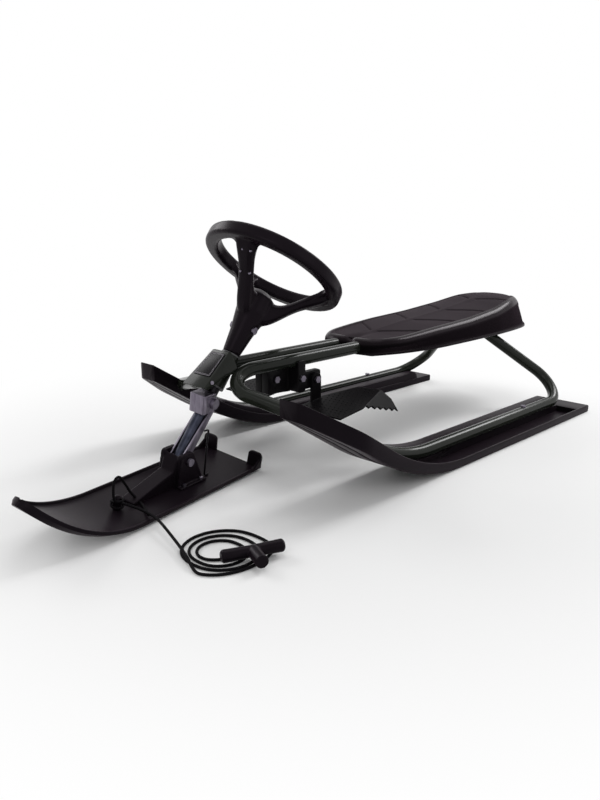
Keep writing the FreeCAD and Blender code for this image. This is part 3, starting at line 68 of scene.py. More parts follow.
def at(points):
    """Millimetres from the runners' rear end, the sled's middle and the floor, as metres in the row frame."""
    return np.asarray(points, float) / 1000 + (tail_x, 0, 0)


def step(value, low, high):
    """0 below low, 1 above high and an S-shaped rise, 3t^2 - 2t^3, between them."""
    t = np.clip((np.asarray(value, float) - low) / (high - low), 0, 1)
    return t * t * (3 - 2 * t)


def between(value, low, high, slope):
    """1 from low to high and 0 outside, each end an S-shaped slope whose half width is given."""
    return step(value, low - slope, low + slope) * (1 - step(value, high - slope, high + slope))


def rounding(inset, radius):
    """Drop of a quarter-round edge at a distance in from it: r (1 - sqrt(1 - (1 - d / r)^2))."""
    share = np.clip(inset / radius, 0, 1)
    return radius * (1 - np.sqrt(np.clip(1 - (1 - share) ** 2, 0, 1)))


def rounded_path(corners, radii, spacing):
    """Straight runs between corners, each inner corner an arc of its radius that touches both, as points."""
    corners = np.asarray(corners, float)
    parts = [corners[:1]]
    for before, here, after, radius in zip(corners, corners[1:], corners[2:], radii):
        back, ahead = before - here, after - here
        back, ahead = back / np.linalg.norm(back), ahead / np.linalg.norm(ahead)
        half = math.acos(np.clip(back @ ahead, -1, 1)) / 2
        middle = (back + ahead) / np.linalg.norm(back + ahead)
        across = (ahead - back) / np.linalg.norm(ahead - back)
        sweep = math.pi / 2 - half
        turns = np.linspace(-sweep, sweep, max(4, int(2 * sweep * radius / spacing)))[:, None]
        centre = here + middle * radius / math.sin(half)
        parts.append(centre - middle * radius * np.cos(turns) + across * radius * np.sin(turns))
    return np.concatenate(parts + [corners[-1:]])


def surface(name, grid, wrap_rows=False, wrap_columns=False, capped=False, sharp=None):
    """Smooth mesh with a face to each cell of a grid of points, joined round where asked, its ends capped."""
    rows, columns = grid.shape[:2]
    number = np.arange(rows * columns).reshape(rows, columns)
    caps = [number[0].tolist(), number[-1].tolist()] if capped else []
    number = np.concatenate([number, number[:, :1]], 1) if wrap_columns else number
    number = np.concatenate([number, number[:1]], 0) if wrap_rows else number
    cells = np.stack([number[:-1, :-1], number[:-1, 1:], number[1:, 1:], number[1:, :-1]], -1).reshape(-1, 4)
    mesh = bpy.data.meshes.new(name)
    mesh.from_pydata(grid.reshape(-1, 3), [], cells.tolist() + caps)
    return finished(name, mesh, sharp)


def finished(name, mesh, sharp=None):
    """Object from a mesh: doubles merged, faces turned outwards, smooth but for edges over an angle."""
    work = bmesh.new()
    work.from_mesh(mesh)
    bmesh.ops.remove_doubles(work, verts=work.verts, dist=1e-6)
    bmesh.ops.recalc_face_normals(work, faces=work.faces)
    work.to_mesh(mesh)
    work.free()
    mesh.shade_smooth()
    if sharp:
        mesh.set_sharp_from_angle(angle=math.radians(sharp))
    return linked(name, mesh)


def linked(name, data):
    """New object in the scene for a mesh, curve, lamp or camera."""
    item = bpy.data.objects.new(name, data)
    bpy.context.scene.collection.objects.link(item)
    return item


def dress(piece, body, finish, slot, *nodes):
    """Gives a piece its material and body, and lets it stand for the CAD nodes named. The slot is not used."""
    piece.data.materials.clear()
    piece.data.materials.append(finish)
    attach(piece, body)
    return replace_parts(piece, *nodes) if nodes else piece


def colour(text):
    """sRGB hex value as linear red, green, blue and full alpha."""
    c = np.array([int(text[k:k + 2], 16) for k in (1, 3, 5)]) / 255
    return (*np.where(c <= 0.04045, c / 12.92, ((c + 0.055) / 1.055) ** 2.4), 1.0)


def add(material, kind, inputs=(), feeds=None, **settings):
    """One more node in a material: its options, its sockets, each with a plain value or another's output, and
    where feeds names one of its outputs and a socket of the Principled shader, the link between them."""
    tree = material.node_tree
    node = tree.nodes.new(kind)
    for option, value in settings.items():
        setattr(node, option, value)
    for socket, value in dict(inputs).items():
        if isinstance(value, bpy.types.NodeSocket):
            tree.links.new(value, node.inputs[socket])
        else:
            node.inputs[socket].default_value = value
    if feeds:
        tree.links.new(node.outputs[feeds[0]], tree.nodes["Principled BSDF"].inputs[feeds[1]])
    return node


def new_material(name, **sockets):
    """Material with a bare Principled shader, its plain sockets set, and the output of Object coordinates."""
    material = bpy.data.materials.new(name)
    material.use_nodes = True
    shader = material.node_tree.nodes["Principled BSDF"]
    for socket, value in sockets.items():
        shader.inputs[socket.replace("_", " ")].default_value = value
    return material, add(material, "ShaderNodeTexCoord").outputs["Object"]


def toned(material, pattern, shades, ends=(0.0, 1.0), gloss=None):
    """Base colour from one shade to the other as a pattern goes from end to end, and roughness with it."""
    ramp = add(material, "ShaderNodeValToRGB", {"Fac": pattern.outputs["Fac"]}, feeds=("Color", "Base Color"))
    for element, end, shade in zip(ramp.color_ramp.elements, ends, shades):
        element.position, element.color = end, colour(shade)
    if gloss:
        add(material, "ShaderNodeMapRange", {"Value": pattern.outputs["Fac"], "To Min": gloss[0],
                                             "To Max": gloss[1]}, feeds=("Result", "Roughness"))
    return ramp.outputs["Color"]


# Moulded polyethylene has a fine eroded grain, about 0.5 mm and here 2.5 mm so that it shows, a soft sheen
# and faint cloudy patches, a hand wide, where the melt flowed. It is black with a plum cast in the light.
plum_sheen, plum_gloss = (1.0, 0.55, 0.85, 1.0), (1.0, 0.8, 0.95, 1.0)
polyethylene, place = new_material("moulded_polyethylene", IOR=1.51, Specular_IOR_Level=0.055,
                                   Sheen_Weight=0.03, Sheen_Tint=plum_sheen, Specular_Tint=plum_gloss)
flow = add(polyethylene, "ShaderNodeTexNoise", {"Vector": place, "Scale": 1 / 0.09, "Detail": 3.0,
                                                "Roughness": 0.6})
toned(polyethylene, flow, ("#0b090c", "#110e12"), (0.3, 0.7), (0.3, 0.42))
grain = add(polyethylene, "ShaderNodeTexNoise", {"Vector": place, "Scale": 1 / 0.0025, "Detail": 2.0})
add(polyethylene, "ShaderNodeBump", {"Height": grain.outputs["Fac"], "Strength": 0.12, "Distance": 0.0004},
    feeds=("Normal", "Normal"))

# Rows run along the sole, and columns go round the section: over the top from the inner to the outer edge,
# and back under the sole. A column keeps its distance from the edge next to it, so walls stay even in the
# taper.
flat_rows = np.array([0, 1.2, 12, 30, 47, 49.4, 50.6, 52, 56, 60, 80, 140, 220, 300, 380, 440, runner_flat])
bend_rows = runner_flat + runner_bend * np.linspace(0, runner_ramp, 27)[1:]
ramp_rows = np.concatenate([np.linspace(0, 0.55, 8)[1:], np.linspace(0.55, 0.955, 15)[1:],
                            [0.963, 0.968, 0.973, 0.98, 0.987, 0.993, 0.997, 1.0]])
rows = np.concatenate([flat_rows, bend_rows, np.full(len(ramp_rows), bend_rows[-1])])[:, None]
ramp_share = np.concatenate([np.zeros(len(flat_rows) + len(bend_rows)), ramp_rows])[:, None]
wall_offsets = [0, 0.15, 0.6, 1.4, 2.5, 3.4, 4.0, 4.6]
middle_offsets = [5.6, 7.2, 9.5, 14, 20, 24.5, 26.8, 28.4, 29.4, 30, 30.7, 32, 36, 40, 41.4, 42, 42.7, 44, 46,
                  48, 49.3, 50, 50.6, 52, 58, 66, 76, 85]
top = np.array(wall_offsets + middle_offsets + [runner_width - offset for offset in reversed(wall_offsets)])
sole = np.array([95.9, 95, 93, 90, 69.5, 68, 66.5, 61.5, 60, 58.5, 37.5, 36, 34.5, 29.5, 28, 26.5, 6, 3, 1,
                 0.1])
sole_height = np.array([2.6, 0.7, 0, 0, 0, 0.5, 2, 2, 0.5, 0, 0, 0.5, 2, 2, 0.5, 0, 0, 0, 0.7, 2.6])
offsets = np.concatenate([top, sole])[None, :]
edge = np.minimum(offsets, runner_width - offsets)
bend_share = np.clip((rows - runner_flat) / (runner_bend * runner_ramp), 0, 1)
crest = runner_lip + (runner_tip_lip - runner_lip) * bend_share - rounding(edge, lip_round)
in_wall = 1 - step(edge, runner_wall - wall_slope, runner_wall + wall_slope)
past_ledge = step(rows, runner_ledge - ledge_slope, runner_ledge + ledge_slope)
height = runner_floor + (crest - runner_floor) * in_wall
height = height + (crest - height) * (1 - past_ledge)
rail_inset = np.minimum(offsets - rail_span[0], rail_span[1] - offsets)
rail_top = rail_height - rounding(rail_inset, rail_edge) - rounding(rows - runner_ledge, rail_nose)
in_rail = between(offsets, *rail_span, rail_slope) * past_ledge
in_rail = in_rail * (1 - step(rows + 12 * ramp_share, rail_end - 20, rail_end))
height = np.where(in_rail > 0, np.maximum(height, height + (rail_top - height) * in_rail), height)
in_rib = between(offsets, *rib_span, rail_slope) * past_ledge
in_rib = in_rib * (1 - step(rows, runner_flat - 30, runner_flat))
height = np.maximum(height, height + (rib_height - height) * in_rib)
height = height + (crest - height) * step(ramp_share, 0.963, 0.975)
height = height - end_round * (rows < 1) - end_round * (ramp_share > 0.998)
height[:, len(top):] = sole_height
bend_angle = np.clip((rows - runner_flat) / runner_bend, 0, runner_ramp)
ramp_foot = runner_flat + (runner_bend - height) * np.sin(bend_angle)
ramp_run = (runner_length - ramp_foot) * ramp_share
x = np.minimum(rows, runner_flat) + (ramp_foot - runner_flat) + ramp_run
z = runner_bend - (runner_bend - height) * np.cos(bend_angle) + ramp_run * math.tan(runner_ramp)
taper = rounded_path([(-50, runner_width, 0), (taper_start, runner_width, 0), (runner_length, tip_width, 0),
                      (runner_length, 0, 0)], taper_bends, 1.0)
width = np.interp(x, taper[:-1, 0], taper[:-1, 1])
wall_foot = runner_wall + 1.6
share = (offsets - wall_foot) / (runner_width - 2 * wall_foot)
y = np.where(offsets < wall_foot, offsets, np.where(
    runner_width - offsets < wall_foot, width - runner_width + offsets,
    wall_foot + share * (width - 2 * wall_foot)))
runner = np.stack([x, runner_inner + y, z], -1)
for side, sign in (("left", 1), ("right", -1)):
    piece = surface("runner_" + side + "_moulding", at(runner * (1, sign, 1)), wrap_columns=True, capped=True,
                    sharp=38)
    dress(piece, "frame", polyethylene, "runner_plastic", "runner_" + side)


# Frame tubes: one steel tube each side, bent cold in six places and powder coated. It runs from the head back
# under the seat, out and down to the runner, along it and up into its tip, and in to the head again.
tube_radius, tube_spacing = 11.0, 3.0
tube_corners = [(294.6, 25, 175), (750, 25, 175), (806, 25, 158), (737, 180, 113), (592, 200, 27),
                (-10, 200, 27), (107, 25, 175), (293.6, 25, 175)]
tube_bends = [60, 34, 24, 300, 55, 60]


def carried(name, path, section, up, capped=True, sharp=None):
    """Section carried along a path: each of its points is path + a * side + b * rise, where side is square to
    the path and to up, and rise is square to both."""
    path, section = np.asarray(path, float), np.asarray(section, float)
    along = np.gradient(path, axis=0)
    along /= np.linalg.norm(along, axis=1, keepdims=True)
    side = np.cross(up, along)
    side /= np.linalg.norm(side, axis=1, keepdims=True)
    rise = np.cross(along, side)
    grid = path[:, None] + side[:, None] * section[None, :, :1] + rise[:, None] * section[None, :, 1:]
    return surface(name, at(grid), wrap_columns=True, capped=capped, sharp=sharp)


def ring(radius, count):
    """Points of a circle."""
    turn = np.linspace(0, 2 * math.pi, count, endpoint=False)
    return radius * np.stack([np.cos(turn), np.sin(turn)], -1)


def clouded(name, cloud, detail, shades, ends=(0.0, 1.0), gloss=None, relief=None, **sockets):
    """Material toned by clouds of a size in metres, over a relief of a size, detail, strength and depth."""
    material, place = new_material(name, **sockets)
    pattern = add(material, "ShaderNodeTexNoise", {"Vector": place, "Scale": 1 / cloud, "Detail": detail})
    toned(material, pattern, shades, ends, gloss)
    if relief:
        size, detail, strength, depth = relief
        fine = add(material, "ShaderNodeTexNoise", {"Vector": place, "Scale": 1 / size, "Detail": detail})
        add(material, "ShaderNodeBump", {"Height": fine.outputs["Fac"], "Strength": strength,
                                         "Distance": depth}, feeds=("Normal", "Normal"))
    return material


# Powder coat melts to an even semi-gloss skin with a slight orange peel, 3 mm from hump to hump, over the
# tube's smooth steel. Its dark grey leans to green.
orange_peel = (0.003, 1.0, 0.1, 0.0003)
powder_coat = clouded("powder_coated_steel", 0.12, 2.0, ("#1b1e1a", "#232620"), (0.35, 0.65), (0.13, 0.2),
                      orange_peel, IOR=1.5, Specular_IOR_Level=0.14)
tube_path = rounded_path(tube_corners, tube_bends, tube_spacing)
for side, sign in (("left", 1), ("right", -1)):
    square = np.array((0, 0.646 * sign, 0.764))  # never along the tube, so its section doesn't flip
    piece = carried("frame_tube_" + side + "_coated", tube_path * (1, sign, 1), ring(tube_radius, 40), square,
                    sharp=50)
    dress(piece, "frame", powder_coat, "frame_paint", "frame_tube_" + side)


# Seat: a hard hollow moulding, open below, screwed to brackets on the tubes. It rises to the tail and ends
# ahead in two lobes over the tubes. Its rim is rolled, and its crowned panel is ridged along the middle and
# veined.
seat_rear, seat_front, seat_half, seat_skirt = -55.0, 497.0, 94.0, 160.0
seat_low_top, seat_high_top, seat_edge, seat_wall, seat_sunk = 193.0, 224.0, 14.0, 6.5, 2.0
seat_lengths = [0, 0.009, 0.03, 0.071, 0.169, 0.294, 0.49, 0.686, 0.793, 0.865, 0.918, 0.954, 0.98, 1]
seat_tops = [0.29, 0.40, 0.53, 0.68, 0.86, 0.96, 1, 1, 0.98, 0.95, 0.89, 0.80, 0.66, 0.47]
seat_lows = [0.46, 0.60, 0.74, 0.845, 0.925, 0.98, 0.99, 0.97, 0.883, 0.78, 0.66, 0.56, 0.49, 0.445]
seat_rises = [0.42, 0.59, 0.77, 0.89, 0.80, 0.51, 0.26, 0.17, 0.08, 0.01, -0.02, -0.04, -0.08, -0.12]
seat_crowns = [13, 13, 13, 13, 13, 11, 8, 4, 1.5, 0, 0, 0, 0, 0]
ridge_rise, ridge_width, notch_depth, notch_width = 2.6, 34, 6.5, 11
vein_starts, vein_slant, vein_depth, vein_width = (79, 191, 303, 415), 0.76, 1.7, 2.0
slope_depth, slope_reach = 1.1, 16


def along_seat(x):
    """Share of the seat's length at a place, from its tail."""
    return (x - seat_rear) / (seat_front - seat_rear)


def seat_top(x):
    """Height of the rim along the seat: a table of rises, each the mean of those within 20 mm."""
    spread = np.linspace(-1, 1, 25)
    weight = 1 - spread ** 2
    share = along_seat(np.asarray(x)[..., None] + 20 * spread)
    rise = (np.interp(share, seat_lengths, seat_rises) * weight).sum(-1) / weight.sum()
    return seat_low_top + (seat_high_top - seat_low_top) * rise


def run_along(path):
    """Distance along a path from its first point to each of them."""
    return np.concatenate([[0], np.cumsum(np.linalg.norm(np.diff(path, axis=0), axis=1))])


def evened(values, reach):
    """Ring of values, each the mean of its neighbours on both sides, taken twice."""
    kernel = np.ones(2 * reach + 1) / (2 * reach + 1)
    for _ in range(2):
        padded = np.concatenate([values[-2 * reach:], values, values[:2 * reach]])
        ends = slice(2 * reach, -2 * reach)
        values = np.stack([np.convolve(column, kernel, "same")[ends] for column in padded.T], -1)
    return values


# The outline goes round from the nose along the left side to the tail and back: half widths come from the
# table, at lengths (1 + cos t) / 2. Each of its points looks in to the nearest point of the middle line.
lengths = (1 + np.cos(np.linspace(0, math.pi, 500))) / 2
side_x = seat_rear + (seat_front - seat_rear) * lengths
half_top = seat_half * np.interp(lengths, seat_lengths, seat_tops)
half_low = seat_half * np.interp(lengths, seat_lengths, seat_lows)
rim = np.stack([side_x, half_top, side_x, half_low], -1)
rim = np.concatenate([rim, rim[::-1] * (1, -1, 1, -1)])
run = run_along(np.concatenate([rim, rim[:1]])[:, :2])
marks = np.linspace(0, run[-1], 720, endpoint=False)
rim = np.stack([np.interp(marks, run, np.append(column, column[0])) for column in rim.T], -1)
rim = evened(rim, 9)
outer, low = rim[:, :2], rim[:, 2:]
spine_x = np.clip(outer[:, 0], seat_rear + 80, seat_front - 62)
spine = np.stack([spine_x, np.zeros_like(spine_x)], -1)
depth = np.linalg.norm(spine - outer, axis=1)[:, None]
inward = (spine - outer) / depth
low_z = seat_skirt + 3 * step(low[:, 0], seat_front - 20, seat_front)
rim_z = seat_top(outer[:, 0])


def seat_ring(inset, drop):
    """Ring of points a distance in from the outline and a drop below the top there, which is the rim's height
    and a crown that grows from the outline to the middle as 1 - (1 - s)^3, s the share of the way in."""
    flat = outer + inward * inset
    share = (inset / depth)[:, 0]
    crown = np.interp(along_seat(flat[:, 0]), seat_lengths, seat_crowns)
    return np.concatenate([flat, (seat_top(flat[:, 0]) + crown * (1 - (1 - share) ** 3) - drop)[:, None]], 1)


def seat_panel(flat):
    """Height of the panel against its crown: a low ridge along the middle, a notch at the nose and the veins,
    each a groove with the panel behind it sloping down to it."""
    x, y = flat[..., 0], np.abs(flat[..., 1])
    rise = ridge_rise * np.exp(-y / ridge_width) * (1 - step(x, 380, 480)) * step(x, 20, 90)
    rise -= notch_depth * np.exp(-(y / notch_width) ** 2) * step(x, 400, 500)
    for start in vein_starts:
        gap = (x - start + (y - 5) * vein_slant) * 0.8
        there = step(y, 4, 12) * (1 - step(y, 70, 77))
        slope = slope_depth * np.exp(-np.abs(gap) / slope_reach) * (gap > 0)
        rise -= there * (vein_depth * np.exp(-(gap / vein_width) ** 2) + slope)
    return rise


skirt = [np.concatenate([low + (outer - low) * share - inward * out,
                         (low_z + (rim_z - seat_edge - low_z) * share)[:, None]], 1)
         for share, out in ((0.24, 0), (0.45, 0.3), (0.7, 0.3), (0.9, 0.1))]
bottom = [np.concatenate([low - inward * out, (low_z + up)[:, None]], 1)
          for out, up in ((-3.6, 2), (-3.0, 0.3), (0.6, 0.2), (1.5, 1.0), (1.6, 3.4), (1.2, 5.0), (0.1, 6.2))]
inner = [seat_ring(share * depth, seat_wall) for share in (1.0, 0.6, 0.35, 0.22)]
inner[-1][:, 2] -= 6
shoulder = [seat_ring(seat_edge * (1 - math.cos(turn)), seat_edge * (1 - math.sin(turn)))
            for turn in np.linspace(0, math.pi / 2, 10)]
crest = [seat_ring(inset, drop)
         for inset, drop in ((15.6, 0.0), (17.2, 0.25), (18.4, 1.0), (19.6, 1.75), (21.0, seat_sunk))]
panel = [seat_ring(21 + (depth - 21) * share, seat_sunk) for share in np.linspace(0, 1, 56)[1:]]
for band in crest + panel:
    fade = step(np.linalg.norm(band[:, :2] - outer, axis=1), 15, 24)
    band[:, 2] += seat_panel(band[:, :2]) * fade
lobes = -4.5 * np.exp(-(outer[:, 1] / 12) ** 2) * step(outer[:, 0], 440, 500)
for band in shoulder + crest[:2]:
    band[:, 2] += lobes
    band[:, 0] += 1.6 * lobes
piece = surface("seat_moulding", at(np.stack(inner + bottom + skirt + shoulder + crest + panel)),
                wrap_columns=True, sharp=50)


def in_mm(points):
    """Metres in the row frame as millimetres from the runners' rear end, the sled's middle and the floor."""
    return (points - (tail_x, 0, 0)) * 1000


# Moulded polypropylene: the panel is matt from a leather-like grain of about 1.5 mm, here 3 mm so that it
# shows, the rim is smooth and shines, and the skirt is dull, its colour darkened to near black as painted
# shade. The mesh says which is which by how far in and how far down a point lies.
spots = np.zeros(len(piece.data.vertices) * 3)
piece.data.vertices.foreach_get("co", spots)
spots = in_mm(spots.reshape(-1, 3))
half = seat_half * np.interp(along_seat(spots[:, 0]), seat_lengths, seat_tops)
inset = np.minimum(half - np.abs(spots[:, 1]), spots[:, 0] - seat_rear)
panelled = step(np.minimum(inset, seat_front - spots[:, 0]), 13, 20)
skirt_shade_and_dullness = step(seat_top(spots[:, 0]) - spots[:, 2], 5, 11) * (1 - panelled)
skirt_shade_and_dullness = skirt_shade_and_dullness * step(spots[:, 2], seat_skirt + 4, seat_skirt + 8)
for name, share in (("grained", panelled), ("skirt_shade_and_dullness", skirt_shade_and_dullness)):
    mark = piece.data.attributes.new(name, "FLOAT", "POINT")
    mark.data.foreach_set("value", share)
polypropylene, place = new_material("moulded_polypropylene", IOR=1.49, Specular_IOR_Level=0.055,
                                    Sheen_Weight=0.025, Sheen_Tint=plum_sheen, Specular_Tint=plum_gloss)
flow = add(polypropylene, "ShaderNodeTexNoise", {"Vector": place, "Scale": 1 / 0.07, "Detail": 4.0,
                                                 "Roughness": 0.6})
tint = toned(polypropylene, flow, ("#110e10", "#171316"), (0.3, 0.7))
grained = add(polypropylene, "ShaderNodeAttribute", attribute_name="grained").outputs["Fac"]
skirt_shade_and_dullness = add(polypropylene, "ShaderNodeAttribute", attribute_name="skirt_shade_and_dullness").outputs["Fac"]
# The skirt's colour is mixed towards near black: painted shade on the seat's sides.
add(polypropylene, "ShaderNodeMix", {"Factor": skirt_shade_and_dullness, 6: tint, 7: colour("#070607")},
    feeds=(2, "Base Color"), data_type="RGBA")
gloss = add(polypropylene, "ShaderNodeMapRange", {"Value": grained, "To Min": 0.2, "To Max": 0.66})
add(polypropylene, "ShaderNodeMath", {0: skirt_shade_and_dullness, 1: 0.8, 2: gloss.outputs["Result"]}, feeds=(0, "Roughness"),
    operation="MULTIPLY_ADD")
grain = add(polypropylene, "ShaderNodeTexVoronoi", {"Vector": place, "Scale": 1 / 0.003},
            feature="DISTANCE_TO_EDGE")
relief = add(polypropylene, "ShaderNodeMath", {0: grain.outputs["Distance"], 1: grained},
             operation="MULTIPLY")
add(polypropylene, "ShaderNodeBump", {"Height": relief.outputs[0], "Strength": 0.15, "Distance": 0.0003},
    feeds=("Normal", "Normal"))
dress(piece, "frame", polypropylene, "seat_plastic", "seat_shell")


# Head: a bearing tube between the frame tubes under a hood folded from sheet, coated with the frame and
# riveted to it. The panel on the hood is a bare gloss film with a double line round it, pressed on.
hood_top, hood_toe = np.array((786.0, 0, 206.0)), np.array((841.0, 0, 160.0))
panel_ends, panel_share, hood_half, hood_flare = (0.06, 0.70), 0.8, 20, 7


def eased(name, node, width, segments=2):
    """Copy of a CAD solid with its doubles merged, its flats joined into one face and its edges rounded."""
    mesh = frame["nodes"][node].data.copy()
    mesh.name = name
    work = bmesh.new()
    work.from_mesh(mesh)
    bmesh.ops.remove_doubles(work, verts=work.verts, dist=2e-6)
    bmesh.ops.dissolve_limit(work, angle_limit=math.radians(0.6), verts=work.verts, edges=work.edges)
    work.to_mesh(mesh)
    work.free()
    mesh.shade_smooth()
    piece = linked(name, mesh)
    bevel = piece.modifiers.new("rounded_edges", "BEVEL")
    bevel.width, bevel.segments = width, segments
    bevel.limit_method, bevel.angle_limit = "ANGLE", math.radians(28)
    bevel.use_clamp_overlap, bevel.harden_normals = False, True
    return piece


def melted(name, node, voxel, passes):
    """Copy of a CAD solid with its doubles merged, built anew from small cubes and evened, so that its
    corners run into each other in soft fillets as a moulding's do."""
    piece = eased(name, node, 0.0)
    piece.modifiers.clear()
    remesh = piece.modifiers.new("even_faces", "REMESH")
    remesh.mode, remesh.voxel_size, remesh.use_smooth_shade = "VOXEL", voxel, True
    smooth = piece.modifiers.new("soft_fillets", "SMOOTH")
    smooth.factor, smooth.iterations = 0.5, passes
    return piece


dress(eased("head_hood_folded", "head_hood", 0.0011, 3), "frame", powder_coat, "frame_paint", "head_hood")
hood_length = np.linalg.norm(hood_toe - hood_top)
hood_down = (hood_toe - hood_top) / hood_length
hood_out = np.array((-hood_down[2], 0, hood_down[0]))
# Vinyl film is smooth, near black and a little cloudy. The line's silver ink is flat and
# grey with a fine fleck.
film = clouded("gloss_film", 0.004, 2.0, ("#0c090d", "#141015"), IOR=1.52, Roughness=0.24,
               Specular_IOR_Level=0.06)
dress(eased("panel_film_bare", "label_panel", 0.0003), "frame", film, "panel_film", "label_panel")
ink = clouded("silver_ink", 0.002, 2.0, ("#5d5860", "#78727b"), IOR=1.5, Roughness=0.4, Metallic=0.3)


def panel_line(name, inset, wide):
    """Printed line round the panel: a strip a distance in from its edge, its height above the film the same
    all round, its corners cut where its sides meet."""
    ends, sides = np.array((0, 0, 1, 1)), np.array((-1, 1, 1, -1))
    bands = []
    for reach, lift in ((inset, 1.0), (inset, 1.12), (inset + wide, 1.12), (inset + wide, 1.0)):
        down = np.array(panel_ends)[ends] * hood_length + (1 - 2 * ends) * reach
        half = panel_share * (hood_half + hood_flare * down / hood_length) - reach
        bands.append(hood_top + hood_down * down[:, None] + hood_out * lift
                     + np.array((0, 1, 0)) * (sides * half)[:, None])
    return surface(name, at(np.stack(bands)), wrap_rows=True, wrap_columns=True, sharp=30)


dress(panel_line("panel_line_outer", 1.5, 0.5), "frame", ink, "panel_film")
dress(panel_line("panel_line_inner", 3.2, 0.35), "frame", ink, "panel_film")


# Steering wheel: rim, three spokes, hub and stem in one moulding of ABS, fixed on the shaft by a cross bolt.
# Its spokes run into the rim in broad flares. It is drawn as it stands in the photograph, steered a little.
joints = {joint["name"]: joint for joint in frame["joints"]}
axis = np.array(joints["steer"]["axis"])
ahead, left = np.array((axis[2], 0, -axis[0])), np.array((0, 1, 0))
steer_foot, rest_turn = np.array((913.0, 0, 0)), 15
# Moulded ABS is satin black with a plum cast, cloudy over 5 cm, its grain of about 0.5 mm drawn at 2.2 mm
# so that it shows.
wheel_plastic = clouded("moulded_abs", 0.05, 3.0, ("#0a080b", "#110e12"), (0.3, 0.7), (0.24, 0.34),
                        (0.0022, 2.0, 0.1, 0.0003), IOR=1.53, Specular_IOR_Level=0.065,
                        Sheen_Weight=0.025, Sheen_Tint=plum_sheen, Specular_Tint=plum_gloss)
wheel = melted("steering_wheel_moulding", "steering_wheel", 0.0016, 10)
# Each spoke flares where it meets the rim: a wedge on both its sides, given by places out from the steering
# axis, across the spoke and along the axis, melts into it.
flare_low = np.array([(66, 10, 366), (80, 15, 381), (89, 21, 391), (94.5, 31, 396), (100, 20, 397),
                      (100, 8, 397)], float)
flare_height = 14
wedge = np.concatenate([flare_low, flare_low + (0, 0, flare_height)])
sides = [list(range(6)), list(range(11, 5, -1))]
sides += [[k, k + 6, (k + 1) % 6 + 6, (k + 1) % 6] for k in range(6)]
corners, faces = [], []
for turn in np.radians((rest_turn, rest_turn + 120, rest_turn + 240)):
    spoke = ahead * math.cos(turn) + left * math.sin(turn)
    for sign in (1, -1):
        faces += [[len(corners) * len(wedge) + k for k in face] for face in sides]
        corners.append(wedge @ np.array([spoke, sign * np.cross(axis, spoke), axis]) + steer_foot)
flares = bpy.data.meshes.new("spoke_flares")
flares.from_pydata(at(np.concatenate(corners)), [], faces)
work = bmesh.new()
work.from_mesh(wheel.data)
work.from_mesh(flares)
bmesh.ops.recalc_face_normals(work, faces=work.faces)
work.to_mesh(wheel.data)
work.free()
bpy.data.meshes.remove(flares)
dress(wheel, "steering", wheel_plastic, "wheel_plastic", "steering_wheel")
# Bright zinc plate is a pale, faintly violet metal, its sheen drawn out along the rolled sheet in 3 mm bands.
zinc, place = new_material("bright_zinc_plate", Metallic=1.0)
stretch = add(zinc, "ShaderNodeMapping", {"Vector": place, "Scale": (1 / 0.02, 1 / 0.003, 1 / 0.02)})
rolled = add(zinc, "ShaderNodeTexNoise", {"Vector": stretch.outputs["Vector"], "Scale": 1.0, "Detail": 3.0})
toned(zinc, rolled, ("#66606d", "#8a8490"), (0.3, 0.7), (0.3, 0.5))
add(zinc, "ShaderNodeBump", {"Height": rolled.outputs["Fac"], "Strength": 0.08, "Distance": 0.0002},
    feeds=("Normal", "Normal"))
# Four small zinc screws stand in pairs under the wheel's front spoke, at places out from the steering axis,
# along it and across the spoke. Each is a low dome: rings about its own normal.
screws = [(67, 357.4, -5), (67, 357.4, 12), (92, 382.0, -1), (92, 382.0, 14)]
spoke_out, spoke_up = 0.68, 0.73
spoke = ahead * math.cos(math.radians(rest_turn)) + left * math.sin(math.radians(rest_turn))
across = np.cross(axis, spoke)
along = spoke * spoke_out + axis * spoke_up
normal = np.cross(across, along)
turns = np.linspace(0, 2 * math.pi, 20, endpoint=False)[None, :, None]
reach = np.array([1.9, 1.9, 1.4, 0.5])[:, None, None]
lift = np.array([-2.0, 0.3, 1.0, 1.2])[:, None, None]
for number, (out, up, over) in enumerate(screws):
    centre = steer_foot + spoke * out + axis * up + across * over
    dome = centre + reach * (np.cos(turns) * across + np.sin(turns) * along) + lift * normal
    piece = surface("spoke_screw_%d" % number, at(dome), wrap_columns=True, capped=True, sharp=40)
    dress(piece, "steering", zinc, "zinc")


# Fork: a bracket folded from zinc-plated sheet under the shaft, and a round strut with a folded channel
# behind it down to the ski's bolt. The strut's blue passivated zinc is a dark metal with a cloudy, bluish
# sheen.
fork_bolt_x, fork_bolt_z, eye_radius, sheet_half, edge_slope = 820, 133, 11, 1.5, 0.205
cheek_start, cheek_end, cheek_side = 809.1, 838.5, 14.5
(upper_x, upper_z), (lower_x, lower_z) = (817.5, 143.7), (817, 122.4)
dark_zinc = clouded("blue_passivated_zinc", 0.012, 3.0, ("#23252e", "#3b3d49"), (0.3, 0.7), (0.25, 0.4),
                    Metallic=1.0)
